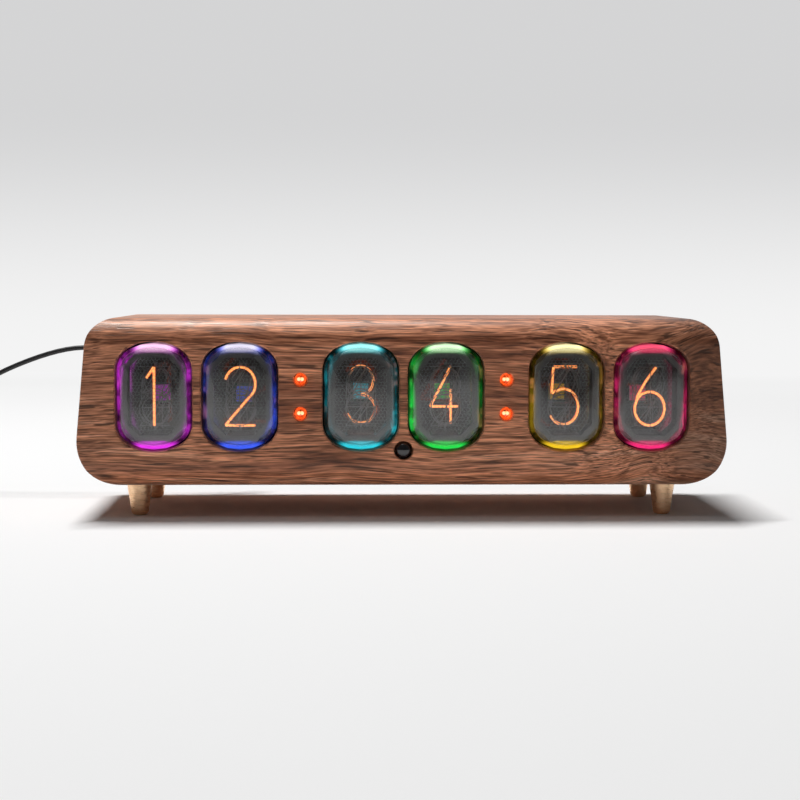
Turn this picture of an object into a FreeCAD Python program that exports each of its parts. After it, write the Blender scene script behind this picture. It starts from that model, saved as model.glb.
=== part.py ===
import FreeCAD
import Part

import math
import os

# Desk clock with six gas-discharge number tubes in a walnut case.
# Millimetres. X runs to the right, Y to the back, Z up. The origin is on the
# surface that the feet stand on, under the middle of the clock without its cord.

# Case
case_depth = 60.0
wood_above_windows = 6.8
wood_below_windows = 10.6
wood_beside_windows = 11.25  # from the outer windows to the case's widest place
side_slant = 5.2             # degrees that the ends lean in towards the top
top_corner_radius = 9.0
bottom_corner_radius = 13.5
front_roll_radius = 8.0      # long front edges, top and bottom
rear_edge_radius = 3.0       # long rear edges
case_wall = 7.0
cavity_corner_radius = 6.0

# Rear cover
cover_rim = 2.2              # wood left round the cover
cover_thickness = 3.0
cover_clearance = 0.2
cover_corner_screw_top = 3.75      # from the centre of the top corner's arc
cover_corner_screw_bottom = 9.0    # from the centre of the bottom corner's arc

# Feet
foot_height = 9.4
foot_top_radius = 3.8
foot_tip_radius = 2.5
foot_tip_chamfer = 1.0
foot_inset = 16.9            # from the case's widest place
front_foot_setback = 12.0    # behind the front face
rear_foot_setback = 8.0      # before the rear face
stud_radius = 1.5
stud_depth = 6.0             # in the foot
stud_head_radius = 2.6
stud_head_height = 1.6

# Number tubes
window_width = 22.5
window_height = 32.2
window_corner_radius = 7.5
window_corner_sweep = 62.0   # degrees of each corner before the crown begins
window_corner_cut = 5.5      # where the corners are cut straight instead
window_crown_drop = 1.0      # where the crown is left off instead
pair_gap = 2.5               # between the two windows of a pair
lamp_gap = 12.9              # between two pairs, with the colon lamps in it
glass_clearance = 0.5
glass_wall = 1.2
glass_front = 1.5
glass_base = 2.5
glass_length = 22.0
glass_proud = 0.6
glass_chamfer = 1.8

# Electrodes inside a tube
anode_clearance = 0.5        # to the inside of the glass
anode_length = 12.0
anode_sheet = 0.4
anode_border = 1.5
anode_setback = 0.6          # behind the inside of the glass front
rail_width = 8.0
rail_height = 0.9
rail_gap = 0.4               # to the anode's shell
digit_height = 18.0
digit_width = 9.6
digit_stroke = 0.7
digit_sheet = 0.3
digit_pitch = 0.95
digit_setback = 1.2          # behind the anode's front
tab_width = 0.9
tab_gap = 0.2
stack_order = (1, 6, 2, 7, 5, 0, 4, 9, 8, 3)   # front to back
shown_digits = (1, 2, 3, 4, 5, 6)              # left to right
arc_step = 45.0              # degrees between the points of a curved stroke

# Tube sockets and their lights
socket_length = 6.0
socket_inset = 1.0           # inside the glass's outline
light_well = 7.0
light_size = 5.0
light_height = 1.6

# Colon lamps
lamp_spacing = 10.0
lamp_radius = 1.75
lamp_wall = 0.35
lamp_length = 14.0
lamp_setback = 0.5
lamp_hole_radius = 2.0
electrode_size = 0.5
electrode_pitch = 1.1
electrode_setback = 2.6

# Remote control receiver
eye_hole_radius = 2.75
eye_radius = 2.1
eye_length = 8.0
eye_setback = 0.5
eye_height_above_base = 11.0
eye_lead_size = 0.5
eye_lead_pitch = 1.27

# Boards, their spacers and what they carry
board_thickness = 1.6
tube_board_gap = 0.6         # to the cavity's wall
control_board_inset = 25.4   # from the case's widest place
control_board_radius = 3.0
cover_space = 11.4           # from the control board to the cover
spacer_corner_radius = 2.5
spacer_above_base = 11.6
spacer_below_top = 10.5
chip_width = 10.3
chip_height = 7.5
chip_thickness = 2.3
choke_radius = 5.0
choke_gap = 7.0              # to the tubes' board
choke_place = -48.0
capacitor_radius = 4.0
capacitor_gap = 3.0          # to the tubes' board
capacitor_place = -18.0
processor_size = 7.0
processor_thickness = 1.2
processor_place = -28.0
cell_radius = 10.0
cell_thickness = 3.2
cell_place = -4.0

# Screws of the cover and of the boards
screw_radius = 1.0
screw_length = 9.0
screw_head_radius = 1.9
screw_head_height = 1.2
screw_clearance = 0.1
pilot_clearance = 0.05

# Push buttons
button_names = ("button_set", "button_up", "button_down")
button_first = 24.0
button_pitch = 12.0
button_radius = 2.4
button_hole_clearance = 0.2
button_flange_radius = 3.2
button_flange_thickness = 0.8
button_flange_gap = 0.3
button_proud = 1.5
button_travel = 0.8
button_rest_gap = 0.3
switch_size = 6.0
switch_thickness = 3.5
plunger_radius = 1.7
plunger_length = 1.2

# Power socket and the plug in it
power_place = -60.0
power_below_top = 11.2
power_body_size = 8.0
power_nose_radius = 3.9
power_nose_clearance = 0.2
power_bore_radius = 2.9
power_bore_depth = 9.5
power_pin_radius = 1.0
plug_clearance = 0.15
plug_tip_length = 9.0
plug_pin_clearance = 0.25
plug_gap = 0.3
plug_body_radius = 4.2
plug_body_length = 9.0
plug_arm_start_radius = 3.2
plug_arm_end_radius = 1.5
plug_arm_length = 18.0
plug_sides = 8

# Cord and its coil
cord_diameter = 1.6
cord_sides = 6
cord_rest_height = 0.85      # of its centreline on the surface
# How far to the left of its exit and behind it each point is, and its height.
cord_route = (
    (14.8, 0.15, 48.1),
    (32.8, 0.85, 47.4),
    (56.3, 2.25, 38.8),
    (68.8, 3.05, 28.4),
    (76.8, 3.35, 17.0),
    (83.3, 3.15, 6.6),
    (92.8, 2.25, cord_rest_height),
    (103.8, 1.45, cord_rest_height),
)
bend_share = 0.45            # of the shorter run, taken up by the bend
coil_start = (114.8, 1.45, cord_rest_height)
coil_outer_radius = 13.4
coil_pitch = 2.15            # between turns beside each other
coil_layer_pitch = 2.1
coil_half_turns_in = 7
coil_tail = 9.0
usb_relief_length = 10.0
usb_relief_start_radius = 1.3
usb_relief_end_radius = 2.2
usb_body_length = 20.0
usb_body_width = 15.0
usb_shell_length = 12.0
usb_shell_width = 12.0
usb_shell_height = 4.5
usb_sheet = 0.4

# Construction
cut_margin = 1.0             # by which a cut passes the faces it opens
tolerance = 1e-6
round_sides = 24             # of the feet, buttons, lamps and other small round pieces
screw_sides = 12             # of the screws, and of what is round and hidden
dome_steps = 2               # straight steps in the front of a lamp or of the receiver
outline_steps = 4            # straight steps in each arc of a glass's outline

# Sizes and places that follow from the ones above
tube_pair_pitch = window_width + pair_gap
tube_group_pitch = tube_pair_pitch + window_width + lamp_gap
case_width = 2 * (tube_group_pitch + tube_pair_pitch / 2 + window_width / 2 + wood_beside_windows)
case_height = wood_below_windows + window_height + wood_above_windows
overall_depth = glass_proud + case_depth + button_proud
front = -overall_depth / 2 + glass_proud
rear = front + case_depth
base = foot_height
top = base + case_height
tube_z = base + wood_below_windows + window_height / 2
eye_z = base + eye_height_above_base
power_z = top - power_below_top
wall_inside = front + case_wall
cover_inside = rear - cover_thickness
glass_start = front - glass_proud
glass_end = glass_start + glass_length
tube_board_front = glass_end + socket_length
tube_board_rear = tube_board_front + board_thickness
control_board_rear = cover_inside - cover_space
control_board_front = control_board_rear - board_thickness
anode_start = glass_start + glass_front + anode_setback
anode_inset = glass_clearance + glass_wall + anode_clearance
tube_places = [
    group * tube_group_pitch + side * tube_pair_pitch / 2
    for group in (-1, 0, 1)
    for side in (-1, 1)
]
lamp_places = [side * tube_group_pitch / 2 for side in (-1, 1)]


def vector(x, y, z):
    return FreeCAD.Vector(x, y, z)


def box(x0, x1, y0, y1, z0, z1):
    return Part.makeBox(x1 - x0, y1 - y0, z1 - z0, vector(x0, y0, z0))


# A cylinder along Y.
def rod(x, y0, y1, z, radius):
    return Part.makeCylinder(radius, y1 - y0, vector(x, y0, z), vector(0, 1, 0))


# A regular polygon about a point, square to a direction. Its first corner is turned by an angle.
def polygon(centre, direction, radius, sides, turn=0):
    along = vector(*direction).normalize()
    level = along.cross(vector(0, 0, 1))
    across = level.normalize() if level.Length > tolerance else vector(1, 0, 0)
    upward = across.cross(along)
    points = []
    for i in range(sides + 1):
        angle = turn + 2 * math.pi * i / sides
        points.append(centre + across * (radius * math.cos(angle)) + upward * (radius * math.sin(angle)))
    return Part.makePolygon(points)


# A many-sided bar from a point along a vector, which may taper.
def bar(start, along, radius, sides, end_radius=None, turn=0):
    if end_radius is None:
        return Part.Face(polygon(start, along, radius, sides, turn)).extrude(along)
    first = polygon(start, along, radius, sides, turn)
    last = polygon(start + along, along, end_radius, sides, turn)
    return Part.makeLoft([first, last], True, True)


# A many-sided bar along Y with a domed front, in straight steps.
def domed_bar(x, y0, y1, z, radius):
    whole = bar(vector(x, y0 + radius, z), vector(0, y1 - y0 - radius, 0), radius, round_sides)
    for i in range(dome_steps):
        near, far = [math.pi / 2 * (i + k) / (dome_steps + 0.5) for k in (0.5, 1.5)]
        start = vector(x, y0 + radius * (1 - math.cos(near)), z)
        along = vector(0, radius * (math.cos(near) - math.cos(far)), 0)
        whole = whole.fuse(bar(start, along, radius * math.sin(near), round_sides, radius * math.sin(far)))
    return whole.removeSplitter()


# An arc in the plane at y, between two angles in degrees.
def arc(centre_x, centre_z, y, radius, start, end):
    points = []
    for angle in (start, (start + end) / 2, end):
        turn = math.radians(angle)
        points.append(vector(centre_x + radius * math.cos(turn), y, centre_z + radius * math.sin(turn)))
    return Part.Arc(*points).toShape()


# Joins edges that lie end to end, with straight edges between them, and closes the loop.
def closed_loop(edges):
    joined = []
    for i, edge in enumerate(edges):
        joined.append(edge)
        end = edge.valueAt(edge.LastParameter)
        following = edges[(i + 1) % len(edges)]
        start = following.valueAt(following.FirstParameter)
        if end.distanceToPoint(start) > tolerance:
            joined.append(Part.LineSegment(end, start).toShape())
    return Part.Wire(joined)


def extruded(wire, length):
    return Part.Face(wire).extrude(vector(0, length, 0))


# Centres of the arcs at the case's corners, on the right.
def corner_centres():
    slant = math.radians(side_slant)
    bottom_x = case_width / 2 - bottom_corner_radius
    bottom_z = base + bottom_corner_radius
    top_z = top - top_corner_radius
    lean = (top_z - bottom_z) * math.sin(slant)
    top_x = bottom_x + (bottom_corner_radius - top_corner_radius - lean) / math.cos(slant)
    return (top_x, top_z), (bottom_x, bottom_z)


# The case's outline seen from the front, drawn in by an inset, with its own corner radii.
def case_outline(y, inset, top_radius, bottom_radius):
    (top_x, top_z), (bottom_x, bottom_z) = corner_centres()
    slant = math.radians(side_slant)
    top_more = top_corner_radius - inset - top_radius
    bottom_more = bottom_corner_radius - inset - bottom_radius
    # A corner of another radius slides along the bisector of its two straight sides.
    upper_x = top_x + top_more * (1 - math.sin(slant)) / math.cos(slant)
    upper_z = top_z + top_more
    lower_x = bottom_x + bottom_more * (1 + math.sin(slant)) / math.cos(slant)
    lower_z = bottom_z - bottom_more
    return closed_loop([
        arc(lower_x, lower_z, y, bottom_radius, -90, side_slant),
        arc(upper_x, upper_z, y, top_radius, side_slant, 90),
        arc(-upper_x, upper_z, y, top_radius, 90, 180 - side_slant),
        arc(-lower_x, lower_z, y, bottom_radius, 180 - side_slant, 270),
    ])


# The arcs of a tube's window, drawn in by an inset: round corners and crowned ends, between
# straight sides. Each has its centre, its radius and its two angles.
def window_arcs(x, inset):
    sweep = math.radians(window_corner_sweep)
    side = window_width / 2 - window_corner_radius
    crown_radius = window_corner_radius + side / math.cos(sweep)
    rise = window_height / 2 - crown_radius + side * math.tan(sweep)
    crown = window_height / 2 - crown_radius
    corner = window_corner_radius - inset
    ends = crown_radius - inset
    bend = window_corner_sweep
    return [
        (x + side, tube_z + rise, corner, 0, bend),
        (x, tube_z + crown, ends, bend, 180 - bend),
        (x - side, tube_z + rise, corner, 180 - bend, 180),
        (x - side, tube_z - rise, corner, 180, 180 + bend),
        (x, tube_z - crown, ends, 180 + bend, 360 - bend),
        (x + side, tube_z - rise, corner, 360 - bend, 360),
    ]


def tube_outline(x, y, inset):
    arcs = window_arcs(x, inset)
    return closed_loop([
        arc(centre_x, centre_z, y, radius, start, end)
        for centre_x, centre_z, radius, start, end in arcs
    ])


# The same outline with its arcs in straight steps, for the glass.
def stepped_outline(x, y, inset):
    points = []
    for centre_x, centre_z, radius, start, end in window_arcs(x, inset):
        for i in range(outline_steps + 1):
            turn = math.radians(start + (end - start) * i / outline_steps)
            point = vector(centre_x + radius * math.cos(turn), y, centre_z + radius * math.sin(turn))
            if not points or point.distanceToPoint(points[-1]) > tolerance:
                points.append(point)
    return Part.makePolygon(points + points[:1])


# The same outline with straight cut corners and flat ends, for what is behind the glass or in it.
def cut_outline(x, y, inset):
    wide = window_width / 2 - inset
    high = window_height / 2 - window_crown_drop - inset
    cut = window_corner_cut - inset * (2 - math.sqrt(2))
    quarter = [(wide, high - cut), (wide - cut, high)]
    upper = quarter + [(-u, v) for u, v in quarter[::-1]]
    around = upper + [(-u, -v) for u, v in upper]
    points = [vector(x + u, y, tube_z + v) for u, v in around]
    return Part.makePolygon(points + points[:1])


# The case's profile seen from the end, with rolled front edges.
def case_profile():
    reach = case_width
    corners = [
        (front, base, front_roll_radius, 1, 1),
        (front, top, front_roll_radius, 1, -1),
        (rear, top, rear_edge_radius, -1, -1),
        (rear, base, rear_edge_radius, -1, 1),
    ]
    edges = []
    for y, z, radius, way_y, way_z in corners:
        centre_y = y + way_y * radius
        centre_z = z + way_z * radius
        along = vector(-reach / 2, centre_y, z)
        across = vector(-reach / 2, y, centre_z)
        diagonal = radius / math.sqrt(2)
        middle = vector(-reach / 2, centre_y - way_y * diagonal, centre_z - way_z * diagonal)
        first, last = (along, across) if way_y == way_z else (across, along)
        edges.append(Part.Arc(first, middle, last).toShape())
    return Part.Face(closed_loop(edges)).extrude(vector(reach, 0, 0))


def screw_places():
    (top_x, top_z), (bottom_x, bottom_z) = corner_centres()
    diagonal = math.sqrt(0.5)
    high = cover_corner_screw_top * diagonal
    low = cover_corner_screw_bottom * diagonal
    places = []
    for side in (-1, 1):
        places.append((side * (top_x + high), top_z + high))
        places.append((side * (bottom_x + low), bottom_z - low))
    return places


def spacer_places():
    return [(x, z) for x in lamp_places for z in (base + spacer_above_base, top - spacer_below_top)]


def foot_places():
    x = case_width / 2 - foot_inset
    return {
        "foot_front_left": (-x, front + front_foot_setback),
        "foot_front_right": (x, front + front_foot_setback),
        "foot_rear_left": (-x, rear - rear_foot_setback),
        "foot_rear_right": (x, rear - rear_foot_setback),
    }


def lamp_centres():
    return [(x, tube_z + side * lamp_spacing / 2) for x in lamp_places for side in (-1, 1)]


def wooden_case():
    outline = case_outline(front, 0, top_corner_radius, bottom_corner_radius)
    block = extruded(outline, case_depth).common(case_profile())
    cavity = case_outline(wall_inside, case_wall, cavity_corner_radius, cavity_corner_radius)
    seat_top = top_corner_radius - cover_rim
    seat_bottom = bottom_corner_radius - cover_rim
    seat = case_outline(cover_inside, cover_rim, seat_top, seat_bottom)
    cuts = [extruded(cavity, case_depth), extruded(seat, case_depth)]
    start = front - cut_margin
    end = wall_inside + cut_margin
    for x in tube_places:
        cuts.append(extruded(tube_outline(x, start, 0), end - start))
    for x, z in lamp_centres():
        cuts.append(rod(x, start, end, z, lamp_hole_radius))
    cuts.append(rod(0, start, end, eye_z, eye_hole_radius))
    pilot_depth = screw_length - cover_thickness + pilot_clearance
    for x, z in screw_places():
        cuts.append(rod(x, cover_inside - pilot_depth, rear, z, screw_radius + pilot_clearance))
    for x, y in foot_places().values():
        place = vector(x, y, base - cut_margin)
        bore_length = case_wall + 2 * cut_margin
        cuts.append(Part.makeCylinder(stud_radius + screw_clearance, bore_length, place))
    return block.cut(Part.makeCompound(cuts))


def rear_cover():
    inset = cover_rim + cover_clearance
    outline = case_outline(cover_inside, inset, top_corner_radius - inset, bottom_corner_radius - inset)
    cuts = []
    for x, z in screw_places():
        cuts.append(rod(x, cover_inside, rear, z, screw_radius + screw_clearance))
    for x in button_places():
        cuts.append(rod(x, cover_inside, rear, tube_z, button_radius + button_hole_clearance))
    nose = power_nose_radius + power_nose_clearance
    cuts.append(rod(power_place, cover_inside, rear, power_z, nose))
    return extruded(outline, cover_thickness).cut(Part.makeCompound(cuts))


def case_screws():
    seats = [(x, rear, z) for x, z in screw_places()]
    seats += [(x, control_board_rear, z) for x, z in spacer_places()]
    screws = []
    for seat in seats:
        place = vector(*seat)
        shank = bar(place, vector(0, -screw_length, 0), screw_radius, screw_sides)
        head = bar(place, vector(0, screw_head_height, 0), screw_head_radius, screw_sides)
        screws.append(shank.fuse(head))
    return Part.makeCompound(screws)


# A tapered foot with a chamfered tip, drilled for its stud.
def foot(x, y):
    chamfer = foot_tip_chamfer
    tip = bar(
        vector(x, y, 0), vector(0, 0, chamfer), foot_tip_radius - chamfer, round_sides, foot_tip_radius,
    )
    taper = bar(
        vector(x, y, chamfer), vector(0, 0, foot_height - chamfer), foot_tip_radius, round_sides,
        foot_top_radius,
    )
    depth = vector(0, 0, -stud_depth - screw_clearance)
    bore = bar(vector(x, y, foot_height), depth, stud_radius + screw_clearance, screw_sides)
    return tip.fuse(taper).cut(bore)


def foot_screws():
    screws = []
    for x, y in foot_places().values():
        seat = vector(x, y, base + case_wall)
        shank = bar(seat, vector(0, 0, -case_wall - stud_depth), stud_radius, screw_sides)
        head = bar(seat, vector(0, 0, stud_head_height), stud_head_radius, screw_sides)
        screws.append(shank.fuse(head))
    return Part.makeCompound(screws)


def tube_glass(x):
    shoulder = glass_start + glass_chamfer
    face = stepped_outline(x, glass_start, glass_clearance + glass_chamfer)
    edge = stepped_outline(x, shoulder, glass_clearance)
    outer = Part.makeLoft([face, edge], True, True)
    outer = outer.fuse(extruded(edge, glass_length - glass_chamfer))
    room = glass_length - glass_front - glass_base
    inside = stepped_outline(x, glass_start + glass_front, glass_clearance + glass_wall)
    return outer.cut(extruded(inside, room))


# The anode is a thin tray round the digits, open behind, with a window for its mesh.
# The two rails above and below the digits run back to the tube's base.
def tube_anode(x):
    sheet = anode_sheet
    tray = extruded(cut_outline(x, anode_start, anode_inset), anode_length)
    room = extruded(cut_outline(x, anode_start + sheet, anode_inset + sheet), anode_length)
    window = extruded(cut_outline(x, anode_start, anode_inset + anode_border), sheet)
    solids = [tray.cut(room).cut(window)]
    low, high = rail_span()
    base_inside = glass_end - glass_base
    for side in (-1, 1):
        heights = sorted((tube_z + side * low, tube_z + side * high))
        rail = box(
            x - rail_width / 2, x + rail_width / 2,
            anode_start + sheet + anode_clearance, base_inside, *heights,
        )
        solids.append(rail)
    return Part.makeCompound(solids)


# How far the rails' two faces are from the tube's middle.
def rail_span():
    high = window_height / 2 - window_crown_drop - anode_inset - anode_sheet - rail_gap
    return high - rail_height, high


# Points on an ellipse in the unit frame of a digit, where 1 is half its width or height.
def sweep(centre_u, centre_v, radius_u, radius_v, start, end):
    steps = max(2, round(abs(end - start) / arc_step))
    points = []
    for i in range(steps + 1):
        turn = math.radians(start + (end - start) * i / steps)
        points.append((centre_u + radius_u * math.cos(turn), centre_v + radius_v * math.sin(turn)))
    return points


def turned(points):
    return [(-u, -v) for u, v in points]


# The strokes of each digit, and where its two tabs stand.
def digit_strokes(digit):
    six_bowl = sweep(0, -0.42, 1, 0.58, 0, 360)
    six_tail = [(0.4, 1), (-0.3, 0.5), (-0.82, 0.02), (-1, -0.42)]
    strokes = {
        0: ([sweep(0, 0, 1, 1, 0, 360)], 0, 0),
        1: ([[(-0.5, 0.62), (0, 1), (0, -1)]], 0, 0),
        2: ([sweep(0, 0.42, 1, 0.58, 165, -30) + [(-1, -1), (1, -1)]], 0, 0),
        3: ([sweep(0, 0.5, 0.85, 0.5, 160, -90), sweep(0, -0.5, 1, 0.5, 90, -160)], 0, 0),
        4: ([[(0.4, 1), (-1, -0.4), (1, -0.4)], [(0.4, 0.2), (0.4, -1)]], 0.4, 0.4),
        5: ([[(0.85, 1), (-0.75, 1), (-0.85, 0.08)] + sweep(-0.05, -0.38, 1, 0.62, 108, -150)], 0, 0),
        6: ([six_bowl, six_tail], 0.4, 0),
        7: ([[(-1, 1), (1, 1), (-0.3, -1)]], 0, -0.3),
        8: ([sweep(0, 0.5, 0.84, 0.5, 0, 360), sweep(0, -0.5, 1, 0.5, 0, 360)], 0, 0),
        9: ([turned(six_bowl), turned(six_tail)], 0, -0.4),
    }
    return strokes[digit]


# A flat stroke of even width along points in a plane at y = 0, with mitred corners.
def stroke_face(points, width):
    closed = math.dist(points[0], points[-1]) < tolerance
    path = points[:-1] if closed else points
    count = len(path)
    left, right = [], []
    for i, (px, pz) in enumerate(path):
        directions = []
        if closed or i > 0:
            qx, qz = path[i - 1]
            span = math.dist((px, pz), (qx, qz))
            directions.append(((px - qx) / span, (pz - qz) / span))
        if closed or i < count - 1:
            qx, qz = path[(i + 1) % count]
            span = math.dist((px, pz), (qx, qz))
            directions.append(((qx - px) / span, (qz - pz) / span))
        sum_x = sum(direction[0] for direction in directions)
        sum_z = sum(direction[1] for direction in directions)
        size = math.hypot(sum_x, sum_z)
        along_x, along_z = sum_x / size, sum_z / size
        reach = width / 2 / (along_x * directions[0][0] + along_z * directions[0][1])
        left.append(vector(px - along_z * reach, 0, pz + along_x * reach))
        right.append(vector(px + along_z * reach, 0, pz - along_x * reach))
    if closed:
        loops = [Part.Wire(Part.makePolygon(side + side[:1])) for side in (left, right)]
        areas = [Part.Face(loop).Area for loop in loops]
        outer, inner = loops if areas[0] > areas[1] else loops[::-1]
        return Part.Face(outer).cut(Part.Face(inner))
    ring = left + right[::-1]
    return Part.Face(Part.makePolygon(ring + ring[:1]))


# One number cathode in the plane at y = 0, about the middle of its tube at x = 0.
def cathode(digit):
    strokes, tab_top, tab_bottom = digit_strokes(digit)
    half_width = (digit_width - digit_stroke) / 2
    half_height = (digit_height - digit_stroke) / 2
    pieces = []
    for stroke in strokes:
        points = [(u * half_width, v * half_height) for u, v in stroke]
        pieces.append(stroke_face(points, digit_stroke).extrude(vector(0, digit_sheet, 0)))
    reach = rail_span()[0] - tab_gap
    for side, place in ((1, tab_top), (-1, tab_bottom)):
        x = place * half_width
        heights = sorted((side * (half_height - digit_stroke), side * reach))
        pieces.append(box(x - tab_width / 2, x + tab_width / 2, 0, digit_sheet, *heights))
    whole = pieces[0]
    for piece in pieces[1:]:
        whole = whole.fuse(piece)
    return whole.removeSplitter()


def placed_cathode(shape, x, digit):
    y = anode_start + digit_setback + stack_order.index(digit) * digit_pitch
    return shape.translated(vector(x, y, tube_z))


def tube_sockets():
    sockets = []
    half = light_well / 2
    for x in tube_places:
        body = extruded(cut_outline(x, glass_end, glass_clearance + socket_inset), socket_length)
        well = box(x - half, x + half, glass_end, tube_board_front, tube_z - half, tube_z + half)
        sockets.append(body.cut(well))
    return Part.makeCompound(sockets)


def backlight(x):
    half = light_size / 2
    start = tube_board_front - light_height
    return box(x - half, x + half, start, tube_board_front, tube_z - half, tube_z + half)


# Two glass bulbs of a colon, domed in front and open behind for their wires.
def colon_lamps(x):
    bulbs = []
    inner = lamp_radius - lamp_wall
    start = front + lamp_setback
    end = start + lamp_length
    for side in (-1, 1):
        z = tube_z + side * lamp_spacing / 2
        outer = domed_bar(x, start, end, z, lamp_radius)
        mouth = vector(x, end, z)
        room = bar(mouth, vector(0, start + lamp_radius - end, 0), inner, round_sides)
        bulbs.append(outer.cut(room))
    return Part.makeCompound(bulbs)


def lamp_electrodes():
    half = electrode_size / 2
    wires = []
    for x, z in lamp_centres():
        for side in (-1, 1):
            centre = x + side * electrode_pitch / 2
            start = front + lamp_setback + electrode_setback
            wires.append(box(centre - half, centre + half, start, tube_board_front, z - half, z + half))
    return Part.makeCompound(wires)


def infrared_receiver():
    start = front + eye_setback
    end = start + eye_length
    solids = [domed_bar(0, start, end, eye_z, eye_radius)]
    half = eye_lead_size / 2
    for place in (-eye_lead_pitch, 0, eye_lead_pitch):
        solids.append(box(place - half, place + half, end, tube_board_front, eye_z - half, eye_z + half))
    return Part.makeCompound(solids)


def tube_board():
    inset = case_wall + tube_board_gap
    radius = cavity_corner_radius - tube_board_gap
    return extruded(case_outline(tube_board_front, inset, radius, radius), board_thickness)


def board_heights():
    gap = case_wall + tube_board_gap
    return base + gap, top - gap


def control_board():
    low, high = board_heights()
    half = case_width / 2 - control_board_inset
    board = box(-half, half, control_board_front, control_board_rear, low, high)
    corners = [
        edge for edge in board.Edges
        if abs(edge.Vertexes[0].X - edge.Vertexes[1].X) < tolerance
        and abs(edge.Vertexes[0].Z - edge.Vertexes[1].Z) < tolerance
    ]
    board = board.makeFillet(control_board_radius, corners)
    through = vector(0, board_thickness, 0)
    hole_radius = screw_radius + screw_clearance
    holes = [
        bar(vector(x, control_board_front, z), through, hole_radius, screw_sides)
        for x, z in spacer_places()
    ]
    return board.cut(Part.makeCompound(holes))


# Hexagonal posts: one from the case's wall to the tubes' board, and one on to the control board.
def board_spacers():
    spacers = []
    front_length = vector(0, tube_board_front - wall_inside, 0)
    rear_length = vector(0, control_board_front - tube_board_rear, 0)
    thread_depth = screw_length - board_thickness + pilot_clearance
    for x, z in spacer_places():
        spacers.append(bar(vector(x, wall_inside, z), front_length, spacer_corner_radius, 6))
        post = bar(vector(x, tube_board_rear, z), rear_length, spacer_corner_radius, 6)
        mouth = vector(x, control_board_front, z)
        thread = bar(mouth, vector(0, -thread_depth, 0), screw_radius + pilot_clearance, screw_sides)
        spacers.append(post.cut(thread))
    return Part.makeCompound(spacers)


def driver_chips():
    chips = []
    end = tube_board_rear + chip_thickness
    for x in tube_places:
        chips.append(box(
            x - chip_width / 2, x + chip_width / 2, tube_board_rear, end,
            tube_z - chip_height / 2, tube_z + chip_height / 2,
        ))
    return Part.makeCompound(chips)


def boost_choke():
    start = tube_board_rear + choke_gap
    length = vector(0, control_board_front - start, 0)
    return bar(vector(choke_place, start, tube_z), length, choke_radius, screw_sides)


def storage_capacitor():
    start = tube_board_rear + capacitor_gap
    length = vector(0, control_board_front - start, 0)
    return bar(vector(capacitor_place, start, tube_z), length, capacitor_radius, screw_sides)


def processor():
    half = processor_size / 2
    x = processor_place
    end = control_board_rear + processor_thickness
    return box(x - half, x + half, control_board_rear, end, tube_z - half, tube_z + half)


def backup_cell():
    seat = vector(cell_place, control_board_rear, tube_z)
    return bar(seat, vector(0, cell_thickness, 0), cell_radius, round_sides)


def button_places():
    return [button_first + i * button_pitch for i in range(len(button_names))]


# A cap guided by its hole in the cover, with a flange that keeps it in.
def button(x):
    plunger_end = control_board_rear + switch_thickness + plunger_length
    start = plunger_end + button_rest_gap + button_travel
    cap_length = vector(0, rear + button_proud - start, 0)
    cap = bar(vector(x, start, tube_z), cap_length, button_radius, round_sides)
    flange_end = vector(x, cover_inside - button_flange_gap, tube_z)
    flange_length = vector(0, -button_flange_thickness, 0)
    flange = bar(flange_end, flange_length, button_flange_radius, round_sides)
    return cap.fuse(flange).removeSplitter()


def button_switches():
    switches = []
    half = switch_size / 2
    body_end = control_board_rear + switch_thickness
    for x in button_places():
        body = box(x - half, x + half, control_board_rear, body_end, tube_z - half, tube_z + half)
        seat = vector(x, body_end, tube_z)
        plunger = bar(seat, vector(0, plunger_length, 0), plunger_radius, screw_sides)
        switches.append(body.fuse(plunger))
    return Part.makeCompound(switches)


def power_socket():
    half = power_body_size / 2
    x = power_place
    body = box(x - half, x + half, control_board_rear, cover_inside, power_z - half, power_z + half)
    nose = rod(x, cover_inside, rear, power_z, power_nose_radius)
    bore_start = rear - power_bore_depth
    bore = rod(x, bore_start, rear, power_z, power_bore_radius)
    pin = rod(x, bore_start, rear - plug_gap, power_z, power_pin_radius)
    return body.fuse(nose).cut(bore).fuse(pin).removeSplitter()


# Where the cord leaves its plug.
def cord_exit():
    y = rear + plug_gap + plug_body_length / 2
    return vector(power_place - plug_body_radius - plug_arm_length, y, power_z)


# A moulded plug with its arm to the left, both with flat sides.
def cord_plug():
    x = power_place
    body_start = rear + plug_gap
    tip_start = vector(x, rear - plug_tip_length, power_z)
    tip_length = vector(0, plug_gap + plug_tip_length, 0)
    half_side = math.pi / plug_sides
    tip = bar(tip_start, tip_length, power_bore_radius - plug_clearance, round_sides)
    body = bar(
        vector(x, body_start, power_z), vector(0, plug_body_length, 0),
        plug_body_radius / math.cos(half_side), plug_sides, turn=half_side,
    )
    arm = bar(
        vector(x, cord_exit().y, power_z), vector(-plug_body_radius - plug_arm_length, 0, 0),
        plug_arm_start_radius, plug_sides, plug_arm_end_radius, half_side,
    )
    hollow_length = vector(0, plug_tip_length, 0)
    hollow = bar(tip_start, hollow_length, power_pin_radius + plug_pin_clearance, round_sides)
    return body.fuse(arm).fuse(tip).cut(hollow).removeSplitter()


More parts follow.
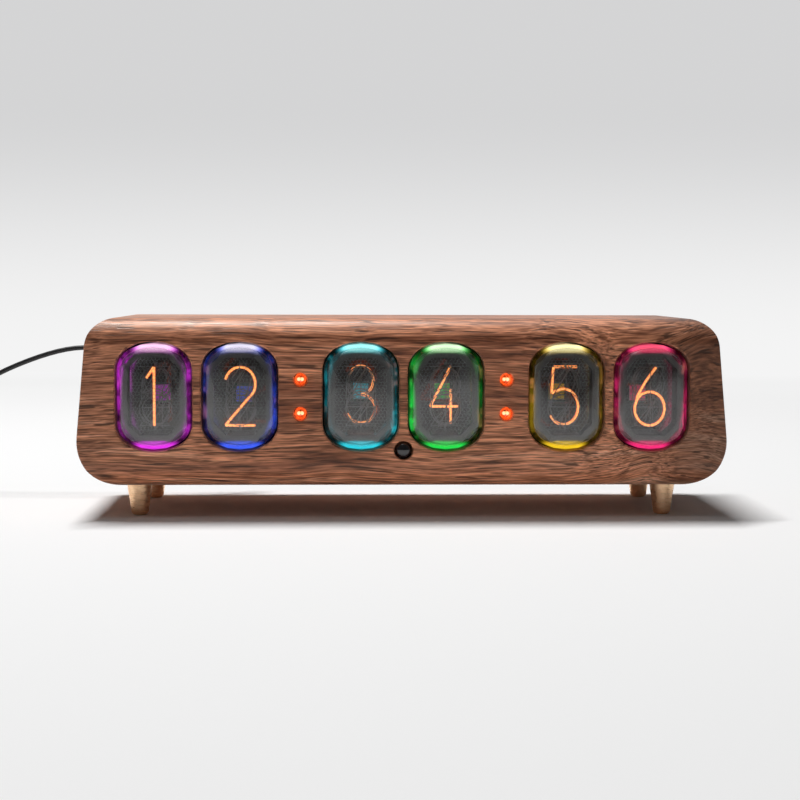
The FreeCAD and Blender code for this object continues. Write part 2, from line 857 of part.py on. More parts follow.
# Straight runs joined by arcs, each as large as its two runs allow.
def tube_path(points):
    edges = []
    radii = []
    start = points[0]
    for before, corner, after in zip(points, points[1:], points[2:]):
        into = (corner - before).normalize()
        out = (after - corner).normalize()
        turn = into.getAngle(out)
        reach = bend_share * min(corner.distanceToPoint(before), corner.distanceToPoint(after))
        radius = reach / math.tan(turn / 2)
        radii.append(radius)
        bend_start = corner - into * reach
        bend_end = corner + out * reach
        inward = (out - into).normalize()
        middle = corner + inward * (radius / math.cos(turn / 2) - radius)
        edges.append(Part.LineSegment(start, bend_start).toShape())
        edges.append(Part.Arc(bend_start, middle, bend_end).toShape())
        start = bend_end
    edges.append(Part.LineSegment(start, points[-1]).toShape())
    return edges, radii


def cord_section(start, direction):
    return polygon(start, direction, cord_diameter / 2, cord_sides)


def cord_tube(edges, start, direction):
    return Part.Wire(edges).makePipeShell([cord_section(start, direction)], True, False)


def report_tube(name, tube, edges, radii):
    length = sum(edge.Length for edge in edges)
    expected = Part.Face(cord_section(vector(0, 0, 0), vector(0, 1, 0))).Area * length
    print(f"{name}: length {length:.1f}, volume over section times length {tube.Volume / expected:.4f}")
    print(f"{name}: radii " + ", ".join(f"{radius:.1f}" for radius in radii))


# A point given by how far it is to the left of the cord's exit and behind it, and its height.
def cord_point(left, behind, height):
    start = cord_exit()
    return vector(start.x - left, start.y + behind, height)


def power_cord():
    points = [cord_exit()] + [cord_point(*point) for point in cord_route]
    points.append(coil_entry())
    edges, radii = tube_path(points)
    tube = cord_tube(edges, points[0], points[1] - points[0])
    report_tube("power_cord", tube, edges, radii)
    return tube


def coil_entry():
    return cord_point(*coil_start)


# Half turns that spiral in on the lower layer, one that climbs, and as many out on the upper.
def coil_edges():
    start = coil_entry()
    ahead = start + vector(-cord_diameter, 0, 0)
    edges = [Part.LineSegment(start, ahead).toShape()]
    point = ahead
    side = 1
    radii = [coil_outer_radius - i * coil_pitch / 2 for i in range(coil_half_turns_in)]
    climb = radii[-1] - coil_pitch / 2
    sequence = [(radius, 0) for radius in radii]
    sequence.append((climb, coil_layer_pitch))
    sequence += [(radius, 0) for radius in radii[::-1]]
    for radius, rise in sequence:
        end = point + vector(0, side * 2 * radius, rise)
        centre = (point + end) * 0.5
        half_span = point.distanceToPoint(end) / 2
        middle = centre + vector(-side * half_span, 0, 0)
        edges.append(Part.Arc(point, middle, end).toShape())
        point = end
        side = -side
    tail = point + vector(coil_tail, 0, 0)
    edges.append(Part.LineSegment(point, tail).toShape())
    return edges, tail


# The least gap between parts of the coil that are more than half a turn from each other.
def coil_gap(edges):
    spacing = 1.0
    line = Part.Wire(edges)
    count = int(line.Length / spacing)
    points = line.discretize(Number=count)
    skipped = int(math.pi * coil_outer_radius / 2 / spacing)
    least = min(
        first.distanceToPoint(second)
        for i, first in enumerate(points)
        for second in points[i + skipped:]
    )
    return least - cord_diameter


def cord_coil():
    edges = coil_edges()[0]
    tube = cord_tube(edges, coil_entry(), vector(-1, 0, 0))
    report_tube("cord_coil", tube, edges, [coil_outer_radius])
    print(f"cord_coil: least gap to itself {coil_gap(edges):.2f}")
    return tube


# A moulded plug with a tapered relief, lying flat beside the coil.
def usb_plug():
    tail = coil_edges()[1]
    half_height = tail.z
    relief = bar(
        tail, vector(usb_relief_length, 0, 0), usb_relief_start_radius, plug_sides,
        usb_relief_end_radius, math.pi / plug_sides,
    )
    body_x = tail.x + usb_relief_length
    shell_x = body_x + usb_body_length
    body = box(
        body_x, shell_x, tail.y - usb_body_width / 2, tail.y + usb_body_width / 2,
        tail.z - half_height, tail.z + half_height,
    )
    shell_end = shell_x + usb_shell_length
    shell = box(
        shell_x, shell_end, tail.y - usb_shell_width / 2, tail.y + usb_shell_width / 2,
        tail.z - usb_shell_height / 2, tail.z + usb_shell_height / 2,
    )
    tongue_room = box(
        shell_x + usb_sheet, shell_end,
        tail.y - usb_shell_width / 2 + usb_sheet, tail.y + usb_shell_width / 2 - usb_sheet,
        tail.z, tail.z + usb_shell_height / 2 - usb_sheet,
    )
    return relief.fuse(body).fuse(shell).cut(tongue_room).removeSplitter()


def all_parts():
    parts = {
        "wooden_case": wooden_case(),
        "rear_cover": rear_cover(),
        "case_screws": case_screws(),
        "foot_screws": foot_screws(),
        "tube_sockets": tube_sockets(),
        "lamp_electrodes": lamp_electrodes(),
        "colon_lamps_left": colon_lamps(lamp_places[0]),
        "colon_lamps_right": colon_lamps(lamp_places[1]),
        "infrared_receiver": infrared_receiver(),
        "tube_board": tube_board(),
        "control_board": control_board(),
        "board_spacers": board_spacers(),
        "driver_chips": driver_chips(),
        "boost_choke": boost_choke(),
        "storage_capacitor": storage_capacitor(),
        "processor": processor(),
        "backup_cell": backup_cell(),
        "button_switches": button_switches(),
        "power_socket": power_socket(),
        "power_cord": power_cord(),
        "cord_coil": cord_coil(),
        "cord_plug": cord_plug(),
        "usb_plug": usb_plug(),
    }
    for name, (x, y) in foot_places().items():
        parts[name] = foot(x, y)
    for name, x in zip(button_names, button_places()):
        parts[name] = button(x)
    cathodes = {digit: cathode(digit) for digit in stack_order}
    for number, (x, shown) in enumerate(zip(tube_places, shown_digits), start=1):
        parts[f"tube_{number}_glass"] = tube_glass(x)
        parts[f"tube_{number}_anode"] = tube_anode(x)
        parts[f"tube_{number}_lit_digit"] = placed_cathode(cathodes[shown], x, shown)
        parts[f"tube_{number}_digits"] = Part.makeCompound([
            placed_cathode(cathodes[digit], x, digit) for digit in stack_order if digit != shown
        ])
        parts[f"backlight_{number}"] = backlight(x)
    return parts


os.makedirs("parts", exist_ok=True)
for name, shape in all_parts().items():
    if not shape.isValid():
        print(f"{name} is not a valid solid")
    shape.exportStep(f"parts/{name}.step")
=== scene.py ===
import bpy
import math
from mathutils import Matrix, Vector


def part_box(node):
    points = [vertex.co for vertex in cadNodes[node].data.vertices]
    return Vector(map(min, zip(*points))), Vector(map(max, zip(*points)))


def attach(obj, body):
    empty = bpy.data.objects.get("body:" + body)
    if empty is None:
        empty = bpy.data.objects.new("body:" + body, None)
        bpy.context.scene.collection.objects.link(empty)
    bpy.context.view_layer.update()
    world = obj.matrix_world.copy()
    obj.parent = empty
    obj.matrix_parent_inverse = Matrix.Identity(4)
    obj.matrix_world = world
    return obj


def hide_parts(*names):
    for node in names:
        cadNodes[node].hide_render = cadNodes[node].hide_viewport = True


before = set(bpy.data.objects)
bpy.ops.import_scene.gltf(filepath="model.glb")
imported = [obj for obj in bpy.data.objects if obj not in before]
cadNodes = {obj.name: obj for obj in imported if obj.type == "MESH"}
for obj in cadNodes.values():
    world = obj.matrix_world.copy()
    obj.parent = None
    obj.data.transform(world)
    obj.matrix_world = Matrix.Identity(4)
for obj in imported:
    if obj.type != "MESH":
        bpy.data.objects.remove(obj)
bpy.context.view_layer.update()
print("frame loaded,", len(cadNodes), "nodes")


# camera, as far from the clock as the photographer stood and a little to the left
shot = {
    "place": (-0.01597, -0.50899, 0.06915),
    "tilt": 4.054,           # degrees down
    "roll": 0.146,
    "yaw": 1.773,            # degrees to the right
    "lens": 73.9,
    "sensor": 36.0,
    "nearest": 0.01,
}


def addObject(name, data):
    thing = bpy.data.objects.new(name, data)
    bpy.context.scene.collection.objects.link(thing)
    return thing


def makeCamera():
    data = bpy.data.cameras.new("camera")
    data.lens = shot["lens"]
    data.sensor_width = shot["sensor"]
    data.clip_start = shot["nearest"]
    camera = addObject("camera", data)
    camera.location = shot["place"]
    turn = (90 - shot["tilt"], -shot["roll"], -shot["yaw"])
    camera.rotation_euler = [math.radians(angle) for angle in turn]
    bpy.context.scene.camera = camera


makeCamera()
print("camera placed")


# small helpers for node trees
def addNode(tree, kind, values=None, **settings):
    node = tree.nodes.new(kind)
    for key, value in settings.items():
        setattr(node, key, value)
    for key, value in (values or {}).items():
        node.inputs[key].default_value = value
    return node


def feed(node, key, value):
    node.id_data.links.new(value, node.inputs[key])


def newMaterial(name, values=None):
    material = bpy.data.materials.new(name)
    material.use_nodes = True
    tree = material.node_tree
    shader = tree.nodes["Principled BSDF"]
    for key, value in (values or {}).items():
        shader.inputs[key].default_value = value
    return material, tree, shader


def objectCoordinates(tree, scale=(1, 1, 1), place=(0, 0, 0)):
    source = addNode(tree, "ShaderNodeTexCoord")
    mapping = addNode(tree, "ShaderNodeMapping", {"Scale": scale, "Location": place})
    feed(mapping, "Vector", source.outputs["Object"])
    return mapping.outputs["Vector"]


def noiseOn(tree, vector, scale, detail=3.0, roughness=0.5, distortion=0.0):
    node = addNode(tree, "ShaderNodeTexNoise", {
        "Scale": scale, "Detail": detail, "Roughness": roughness, "Distortion": distortion,
    })
    feed(node, "Vector", vector)
    return node.outputs["Fac"]


def rampOn(tree, factor, stops):
    node = addNode(tree, "ShaderNodeValToRGB")
    ramp = node.color_ramp
    while len(ramp.elements) < len(stops):
        ramp.elements.new(0.5)
    for element, (position, colour) in zip(ramp.elements, stops):
        element.position = position
        element.color = (*colour, 1)
    feed(node, "Fac", factor)
    return node.outputs["Color"]


def mathOn(tree, operation, first, second=None, third=None, clamp=False):
    node = addNode(tree, "ShaderNodeMath", operation=operation, use_clamp=clamp)
    for i, value in enumerate((first, second, third)):
        if isinstance(value, (int, float)):
            node.inputs[i].default_value = value
        elif value is not None:
            feed(node, i, value)
    return node.outputs["Value"]


def times(tree, first, second):
    return mathOn(tree, "MULTIPLY", first, second)


def minus(tree, value):
    return times(tree, value, -1.0)


def oneLess(tree, value):
    return mathOn(tree, "SUBTRACT", 1.0, value)


def mixOn(tree, factor, first, second, blend="MIX"):
    node = addNode(tree, "ShaderNodeMix", data_type="RGBA", blend_type=blend)
    colours = [socket for socket in node.inputs if socket.type == "RGBA"]
    for socket, value in zip([node.inputs["Factor"]] + colours, (factor, first, second)):
        if isinstance(value, (int, float)):
            socket.default_value = value
        elif isinstance(value, tuple):
            socket.default_value = (*value, 1)
        else:
            tree.links.new(value, socket)
    return next(socket for socket in node.outputs if socket.type == "RGBA")


def rangeOn(tree, value, low, high, start=0.0, end=1.0):
    node = addNode(tree, "ShaderNodeMapRange", {
        "From Min": low, "From Max": high, "To Min": start, "To Max": end,
    }, interpolation_type="SMOOTHSTEP")
    feed(node, "Value", value)
    return node.outputs["Result"]


def bumpOn(tree, shader, height, strength, distance):
    node = addNode(tree, "ShaderNodeBump", {"Strength": strength, "Distance": distance})
    feed(node, "Height", height)
    feed(shader, "Normal", node.outputs["Normal"])


def splitOn(tree, vector):
    node = addNode(tree, "ShaderNodeSeparateXYZ")
    feed(node, "Vector", vector)
    return node.outputs


# the material's surface goes from the first shader to the second
def blendSurface(tree, share, first, second):
    blend = addNode(tree, "ShaderNodeMixShader")
    for i, value in enumerate((share, first, second)):
        feed(blend, i, value)
    feed(tree.nodes["Material Output"], "Surface", blend.outputs["Shader"])


def paint(material, *names):
    for name in names:
        for slot in cadNodes[name].material_slots:
            slot.material = material


# a fine noise varies the colour, the roughness by its swing, and the surface
def grained(name, values, grain, colours, roughness, swing, bump):
    material, tree, shader = newMaterial(name, {"Roughness": roughness, **values})
    spread = noiseOn(tree, objectCoordinates(tree), grain, 3)
    feed(shader, "Base Color", rampOn(tree, spread, list(zip((0.35, 0.65), colours))))
    low, high = roughness * (1 - swing), roughness * (1 + swing)
    feed(shader, "Roughness", rangeOn(tree, spread, 0.3, 0.7, low, high))
    bumpOn(tree, shader, spread, *bump)
    return material


def plainMetal(name, colour, roughness):
    dull = tuple(0.8 * c for c in colour)
    return grained(name, {"Metallic": 1.0}, 1800, (dull, colour), roughness, 0.20, (0.1, 0.00005))


def plainPlastic(name, colour, roughness):
    light = tuple(1.25 * c for c in colour)
    gloss = {"Specular IOR Level": 0.45}
    return grained(name, gloss, 1500, (colour, light), roughness, 0.15, (0.12, 0.00008))


def glowMaterial(name, colour, strength):
    material, tree, shader = newMaterial(name, {
        "Base Color": (*colour, 1), "Roughness": 0.5, "Emission Strength": strength,
    })
    spread = noiseOn(tree, objectCoordinates(tree), 900, 2)
    hot = tuple(0.85 * c + 0.15 for c in colour)
    feed(shader, "Emission Color", rampOn(tree, spread, [(0.3, colour), (0.7, hot)]))
    return material


# hot where it faces the front, deeper in colour at its sides
def gasGlow(name, hot, deep, strength):
    material, tree, shader = newMaterial(name, {
        "Base Color": (*deep, 1), "Roughness": 0.6, "Emission Strength": strength,
    })
    source = addNode(tree, "ShaderNodeTexCoord")
    facing = minus(tree, splitOn(tree, source.outputs["Normal"])["Y"])
    feed(shader, "Emission Color", rampOn(tree, facing, [(0.15, deep), (0.92, hot)]))
    return material


# small helpers for shaping pieces
def clearSelection():
    if bpy.context.object and bpy.context.object.mode != "OBJECT":
        bpy.ops.object.mode_set(mode="OBJECT")
    bpy.ops.object.select_all(action="DESELECT")


def takeUp(piece, *others):
    clearSelection()
    for other in (piece, *others):
        other.select_set(True)
    bpy.context.view_layer.objects.active = piece


def settle(piece):
    takeUp(piece)
    bpy.ops.object.transform_apply(location=True, rotation=True, scale=True)


def place(piece, location, turn=(0, 0, 0)):
    piece.location = location
    piece.rotation_euler = [math.radians(angle) for angle in turn]
    settle(piece)


def pickFaces(piece, test):
    takeUp(piece)
    bpy.context.tool_settings.mesh_select_mode = (False, False, True)
    for group in (piece.data.vertices, piece.data.edges):
        group.foreach_set("select", [False] * len(group))
    for face in piece.data.polygons:
        face.select = test(face.center, face.normal)
    bpy.ops.object.mode_set(mode="EDIT")


def pickEdges(piece, test):
    takeUp(piece)
    bpy.context.tool_settings.mesh_select_mode = (False, True, False)
    places = [vertex.co.copy() for vertex in piece.data.vertices]
    for group in (piece.data.vertices, piece.data.polygons):
        group.foreach_set("select", [False] * len(group))
    for edge in piece.data.edges:
        edge.select = test(*[places[i] for i in edge.vertices])
    bpy.ops.object.mode_set(mode="EDIT")


def leaveEdit():
    bpy.ops.object.mode_set(mode="OBJECT")


def editAll(piece):
    takeUp(piece)
    bpy.ops.object.mode_set(mode="EDIT")
    bpy.ops.mesh.select_all(action="SELECT")


def bevelAt(piece, test, width, segments):
    pickEdges(piece, test)
    bpy.ops.mesh.bevel(offset=width, offset_type="OFFSET", segments=segments, profile=0.5, affect="EDGES")
    leaveEdit()


def mergeAndTurnOut(piece):
    editAll(piece)
    bpy.ops.mesh.remove_doubles(threshold=tiny)
    bpy.ops.mesh.normals_make_consistent(inside=False)
    leaveEdit()


def applyModifier(piece, kind, **settings):
    takeUp(piece)
    modifier = piece.modifiers.new(kind.lower(), kind)
    for key, value in settings.items():
        setattr(modifier, key, value)
    bpy.ops.object.modifier_apply(modifier=modifier.name)


def combine(piece, tool, operation):
    applyModifier(piece, "BOOLEAN", object=tool, operation=operation, solver="EXACT")
    bpy.data.objects.remove(tool)


def block(low, high):
    clearSelection()
    centre = [(a + b) / 2 for a, b in zip(low, high)]
    bpy.ops.mesh.primitive_cube_add(size=1, location=centre)
    piece = bpy.context.object
    piece.scale = [b - a for a, b in zip(low, high)]
    settle(piece)
    return piece


# a turned shape that rises from ring to ring, each given by its radius and its height
def turned(rings, sides=32):
    clearSelection()
    radius, height = rings[0]
    bpy.ops.mesh.primitive_circle_add(vertices=sides, radius=radius, fill_type="NGON", location=(0, 0, height))
    piece = bpy.context.object
    settle(piece)
    editAll(piece)
    for (before, low), (after, high) in zip(rings, rings[1:]):
        bpy.ops.mesh.extrude_region_move(TRANSFORM_OT_translate={"value": (0, 0, high - low)})
        ratio = after / before
        bpy.ops.transform.resize(value=(ratio, ratio, 1), center_override=(0, 0, high))
    leaveEdit()
    mergeAndTurnOut(piece)
    return piece


def copyOf(piece, shift):
    twin = addObject(piece.name, piece.data.copy())
    place(twin, shift)
    return twin


def joined(pieces):
    takeUp(pieces[0], *pieces[1:])
    bpy.ops.object.join()
    return pieces[0]


def copyOfNode(node):
    piece = addObject(node, cadNodes[node].data.copy())
    takeUp(piece)
    bpy.ops.mesh.customdata_custom_splitnormals_clear()
    editAll(piece)
    bpy.ops.mesh.remove_doubles(threshold=tiny)
    bpy.ops.mesh.dissolve_limited(angle_limit=math.radians(1))
    leaveEdit()
    return piece


def addSpline(curve, kind, points):
    spline = curve.splines.new(kind)
    spline.points.add(len(points) - 1)
    for target, point in zip(spline.points, points):
        target.co = (*point, 1)
    return spline


# a flat curve made into a mesh that stands upright
def uprightMesh(curve, location):
    takeUp(addObject(curve.name, curve))
    bpy.ops.object.convert(target="MESH")
    piece = bpy.context.object
    place(piece, location, toFront)
    return piece


# the rings of a dome on a straight side, for turned
def domeRings(radius, start, rise, step, least):
    rings = []
    for turn in range(0, 91, step):
        angle = math.radians(turn)
        rings.append((max(radius * math.cos(angle), least), start + rise * math.sin(angle)))
    return rings


def finishPiece(piece, name, material, body="clock_case", instead=(), sharp=35):
    takeUp(piece)
    bpy.ops.object.shade_smooth_by_angle(angle=math.radians(sharp))
    piece.name = name
    piece.data.name = name
    piece.data.materials.clear()
    piece.data.materials.append(material)
    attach(piece, body)
    if instead:
        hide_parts(*instead)
    return piece


tiny = 1e-6
toFront = (90, 0, 0)         # turns what rises so that it points to the front
toBack = (-90, 0, 0)
toLeft = (0, -90, 0)
toRight = (0, 90, 0)


# moulded plugs at the two ends of the power lead
plug = {
    "place": (-0.060, 0.02985, 0.0478),
    "barrelRadius": 0.00275,
    "barrelLength": 0.009,
    "body": [
        (0.0038, 0.0), (0.0042, 0.0004), (0.0042, 0.0084), (0.0040, 0.0088), (0.0034, 0.0090),
    ],
    "armLength": 0.0222,
    "armStart": 0.0032,
    "armEnd": 0.0014,
    "ribs": 7,
    "ribPitch": 0.0017,
    "ribGroove": 0.0007,
    "ribDepth": 0.00035,
    "ribEdge": 0.0001,
    "plainEnd": 0.0009,       # between the last groove and the thin end
}
usb = {
    "reliefLength": 0.010,
    "reliefStart": 0.0013,
    "reliefEnd": 0.0022,
    "reliefRibs": 4,
    "firstRib": 0.0025,
    "bodyLength": 0.020,
    "bodyEdge": 0.0014,
    "shellWidth": 0.012,
    "shellHeight": 0.0045,
    "shellEdge": 0.0004,
    "sheet": 0.0004,
    "mouthDepth": 0.0105,
    "tongueWidth": 0.0104,
    "tongueHeight": 0.0018,
    "tongueEdge": 0.0003,
    "tongueLift": 0.0002,
    "tongueBack": 0.0006,
}

plugBlack = plainPlastic("plugBlack", (0.016, 0.016, 0.017), 0.4)
screwSteel = plainMetal("screwSteel", (0.52, 0.52, 0.53), 0.28)


# a tapered relief with grooves round it
def ribbed(start, end, length, ribs, first):
    rings = [(start, 0.0)]
    edge, groove = plug["ribEdge"], plug["ribGroove"]
    for i in range(ribs):
        for depth, step in ((0, 0), (1, edge), (1, groove), (0, groove + edge)):
            height = first + i * plug["ribPitch"] + step
            outer = start + (end - start) * height / length
            rings.append((outer - depth * plug["ribDepth"], height))
    rings += [(end, length - 0.0003), (end * 0.8, length)]
    return turned(rings, 24)


def makeSocketPlug():
    x, y, z = plug["place"]
    barrel = turned([(plug["barrelRadius"], -plug["barrelLength"]), (plug["barrelRadius"], 0.0005)], 24)
    place(barrel, plug["place"], toBack)
    body = turned(plug["body"], 40)
    place(body, plug["place"], toBack)
    arm = ribbed(
        plug["armStart"], plug["armEnd"], plug["armLength"], plug["ribs"],
        plug["armLength"] - plug["plainEnd"] - plug["ribs"] * plug["ribPitch"],
    )
    place(arm, (x, y + plug["body"][-1][1] / 2, z), toLeft)
    combine(body, arm, "UNION")
    combine(body, barrel, "UNION")
    mergeAndTurnOut(body)
    return finishPiece(body, "leadPlug", plugBlack, instead=["cord_plug"])


def makeUsbPlug():
    low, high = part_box("usb_plug")
    y, z = (low.y + high.y) / 2, (low.z + high.z) / 2
    relief = ribbed(
        usb["reliefStart"], usb["reliefEnd"], usb["reliefLength"] + 0.002, usb["reliefRibs"], usb["firstRib"],
    )
    place(relief, (low.x, y, z), toRight)
    start = low.x + usb["reliefLength"]
    end = start + usb["bodyLength"]
    body = block((start, low.y, low.z), (end, high.y, high.z))
    bevelAt(body, lambda a, b: True, usb["bodyEdge"], 4)
    combine(body, relief, "UNION")
    mergeAndTurnOut(body)
    finishPiece(body, "usbPlug", plugBlack, instead=["usb_plug"])
    wide, tall = usb["shellWidth"] / 2, usb["shellHeight"] / 2
    shell = block((end - 0.001, y - wide, z - tall), (high.x, y + wide, z + tall))
    bevelAt(shell, lambda a, b: abs(a.x - b.x) > tiny, usb["shellEdge"], 2)
    pickFaces(shell, lambda centre, normal: normal.x > 0.9)
    bpy.ops.mesh.inset(thickness=usb["sheet"])
    bpy.ops.mesh.extrude_region_move(TRANSFORM_OT_translate={"value": (-usb["mouthDepth"], 0, 0)})
    leaveEdit()
    half = usb["tongueWidth"] / 2
    foot = z - tall + usb["sheet"] + usb["tongueLift"]
    tip = high.x - usb["tongueBack"]
    tongue = block((high.x - usb["mouthDepth"], y - half, foot), (tip, y + half, foot + usb["tongueHeight"]))
    bevelAt(tongue, lambda a, b: min(a.x, b.x) > tip - tiny, usb["tongueEdge"], 2)
    finishPiece(shell, "usbShell", screwSteel)
    finishPiece(tongue, "usbTongue", plugBlack)
    return [body, shell, tongue]


# power lead: a thin round lead that leaves its plug sideways, droops to the table and is coiled there
lead = {
    "diameter": 0.0016,
    "exit": (-0.0822, 0.03435, 0.0478),
    "route": [
        (-0.0970, 0.0345, 0.0481), (-0.1110, 0.0350, 0.0476), (-0.1330, 0.0364, 0.0392),
        (-0.1480, 0.0373, 0.0288), (-0.1580, 0.0377, 0.0170), (-0.1650, 0.0375, 0.0066),
        (-0.1750, 0.0366, 0.00085), (-0.1860, 0.0358, 0.00085),
    ],
    "coilEntry": (-0.1970, 0.0358, 0.00085),
    "outerRadius": 0.0134,
    "halfTurnsIn": 7,
    "pitch": 0.00215,         # between turns side by side
    "layerRise": 0.0021,
    "stepsPerHalfTurn": 6,
    "tail": 0.009,
}


def coilPoints():
    steps = lead["stepsPerHalfTurn"]
    reach = 1 / ((3 + math.cos(math.pi / steps)) / 4)      # the spline runs inside its points
    radii = [lead["outerRadius"] - i * lead["pitch"] / 2 for i in range(lead["halfTurnsIn"])]
    climb = radii[-1] - lead["pitch"] / 2
    turns = [(r, 0) for r in radii] + [(climb, lead["layerRise"])] + [(r, 0) for r in reversed(radii)]
    x, y, z = lead["coilEntry"]
    x -= lead["diameter"]
    points = []
    side = 1
    for radius, rise in turns:
        centre = y + side * radius
        for i in range(steps):
            turn = math.pi * (i + 0.5) / steps
            points.append((
                x - side * radius * reach * math.sin(turn),
                centre - side * radius * reach * math.cos(turn),
                z + rise * (i + 0.5) / steps,
            ))
        y += side * 2 * radius
        z += rise
        side = -side
    return points, (x + lead["tail"], y, z)


def leadRubber():
    material, tree, shader = newMaterial("leadRubber", {"Specular IOR Level": 0.45})
    grain = noiseOn(tree, objectCoordinates(tree), 2600, 2)
    feed(shader, "Roughness", rangeOn(tree, grain, 0.3, 0.7, 0.36, 0.50))
    colour = rampOn(tree, grain, [(0.3, (0.009, 0.009, 0.010)), (0.7, (0.018, 0.018, 0.019))])
    feed(shader, "Base Color", colour)
    bumpOn(tree, shader, grain, 0.15, 0.0001)
    return material


def makeLead(plugs):
    curve = bpy.data.curves.new("powerLead", "CURVE")
    curve.dimensions = "3D"
    curve.bevel_depth = lead["diameter"] / 2
    curve.bevel_resolution = 4
    curve.resolution_u = 6
    curve.use_fill_caps = True
    coil, end = coilPoints()
    points = [lead["exit"]] + lead["route"] + [lead["coilEntry"]] + coil + [end]
    spline = addSpline(curve, "NURBS", points)
    spline.order_u = 3
    spline.use_endpoint_u = True
    piece = addObject("powerLead", curve)
    curve.materials.append(leadRubber())
    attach(piece, "clock_case")
    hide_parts("power_cord", "cord_coil")


makeLead([makeSocketPlug()] + makeUsbPlug())
print("power lead laid")


# stage: a pale table that sweeps up into a backdrop
stage = {
    "width": 5.0,
    "front": -1.6,
    "back": 1.3,
    "height": 2.4,
    "sweep": 0.45,
    "table": (0.90, 0.90, 0.90),
    "far": (0.10, 0.10, 0.10),
    "horizon": (0.905, 0.905, 0.905),
    "above": (0.66, 0.66, 0.665),
    "rise": (0.0, 0.26),          # heights from the horizon's colour to the one above
    "dark": (0.55, 0.85),         # where the far table turns dark and lights little
    "glow": (0.12, 0.75),         # where its glow takes over
    "frontEdge": (0.60, 1.40),
    "sideEdge": (0.80, 2.00),
}


def stageMaterial():
    material, tree, shader = newMaterial("paleStage", {"Roughness": 0.85, "Specular IOR Level": 0.1})
    parts = splitOn(tree, objectCoordinates(tree))
    dark = rangeOn(tree, parts["Y"], *stage["dark"])
    feed(shader, "Base Color", mixOn(tree, dark, stage["table"], stage["far"]))
    height = rangeOn(tree, parts["Z"], *stage["rise"])
    glow = addNode(tree, "ShaderNodeEmission")
    feed(glow, "Color", mixOn(tree, height, stage["horizon"], stage["above"]))
    rays = addNode(tree, "ShaderNodeLightPath").outputs
    seen = mathOn(tree, "ADD", rays["Is Camera Ray"], rays["Is Glossy Ray"])
    seen = mathOn(tree, "ADD", seen, rays["Is Transmission Ray"], clamp=True)
    far = times(tree, seen, rangeOn(tree, parts["Y"], *stage["glow"]))
    # towards its other edges the camera sees the table fade into the pale room
    front = rangeOn(tree, minus(tree, parts["Y"]), *stage["frontEdge"])
    sides = rangeOn(tree, mathOn(tree, "ABSOLUTE", parts["X"]), *stage["sideEdge"])
    edges = times(tree, mathOn(tree, "MAXIMUM", front, sides), rays["Is Camera Ray"])
    blendSurface(tree, mathOn(tree, "MAXIMUM", far, edges), shader.outputs["BSDF"], glow.outputs["Emission"])
    return material


def makeStage():
    clearSelection()
    bpy.ops.mesh.primitive_plane_add(size=1)
    floor = bpy.context.object
    floor.name = "paleStage"
    floor.dimensions = (stage["width"], stage["back"] - stage["front"], 0)
    floor.location = (0, (stage["back"] + stage["front"]) / 2, 0)
    settle(floor)
    pickEdges(floor, lambda a, b: min(a.y, b.y) > stage["back"] - 0.01)
    bpy.ops.mesh.extrude_region_move(TRANSFORM_OT_translate={"value": (0, 0, stage["height"])})
    leaveEdit()
    applyModifier(floor, "BEVEL", width=stage["sweep"], segments=24, limit_method="ANGLE")
    bpy.ops.object.shade_smooth()
    floor.data.materials.append(stageMaterial())


# a long lamp above and a little behind on the left, and a soft one above in front
lights = {
    "ceiling": {"place": (-0.27, 0.29, 1.50), "aim": (0, 0, 0), "size": (0.72, 0.06), "power": 24.3},
    "front": {"place": (-0.25, -0.55, 1.40), "aim": (0, 0, 0.03), "size": (0.45, 0.45), "power": 1.2},
}
roomLevel = 0.07             # as a light
roomSeen = 0.905             # by the camera


def makeLights():
    for name, values in lights.items():
        data = bpy.data.lights.new(name, "AREA")
        data.shape = "RECTANGLE"
        data.size, data.size_y = values["size"]
        data.energy = values["power"]
        lamp = addObject(name, data)
        lamp.location = values["place"]
        aim = Vector(values["aim"]) - Vector(values["place"])
        lamp.rotation_euler = aim.to_track_quat("-Z", "Y").to_euler()
    world = bpy.data.worlds.new("room")
    world.use_nodes = True
    tree = world.node_tree
    background = tree.nodes["Background"]
    background.inputs["Color"].default_value = (1, 1, 1, 1)
    rays = addNode(tree, "ShaderNodeLightPath")
    level = times(tree, rays.outputs["Is Camera Ray"], roomSeen)
    feed(background, "Strength", mathOn(tree, "MAXIMUM", level, roomLevel))
    bpy.context.scene.world = world
    bpy.context.scene.view_settings.view_transform = "Standard"


makeStage()
makeLights()
print("stage and lights set")


# wooden case, with the same outline as the solid one
case = {
    "front": -0.03045,
    "rear": 0.02955,
    "base": 0.0094,
    "top": 0.0590,
    "lowerCentre": (0.0819, 0.0229),     # of the lower right corner's arc
    "slant": 5.2,
    "topRadius": 0.0090,
    "bottomRadius": 0.0135,
    "frontRoll": 0.0080,
    "rearRoll": 0.0030,
    "endEdge": 0.0006,
    "wall": 0.0070,
    "cavityRadius": 0.0060,
    "rim": 0.0022,
    "coverThickness": 0.0030,
    "coverGap": 0.0002,
}
windows = {
    "places": [-0.0729, -0.0479, -0.0125, 0.0125, 0.0479, 0.0729],
    "height": 0.0361,
    "halfWidth": 0.01125,
    "halfHeight": 0.0161,
    "cornerRadius": 0.0075,
    "cornerSweep": 62.0,
    "flare": 0.00035,
    "lampX": 0.0302,
    "lampRise": 0.0050,
    "lampRadius": 0.0020,
    "eyeHeight": 0.0204,
    "eyeRadius": 0.00275,
    "holeFlare": (0.0004, 0.0006),       # width and depth
}
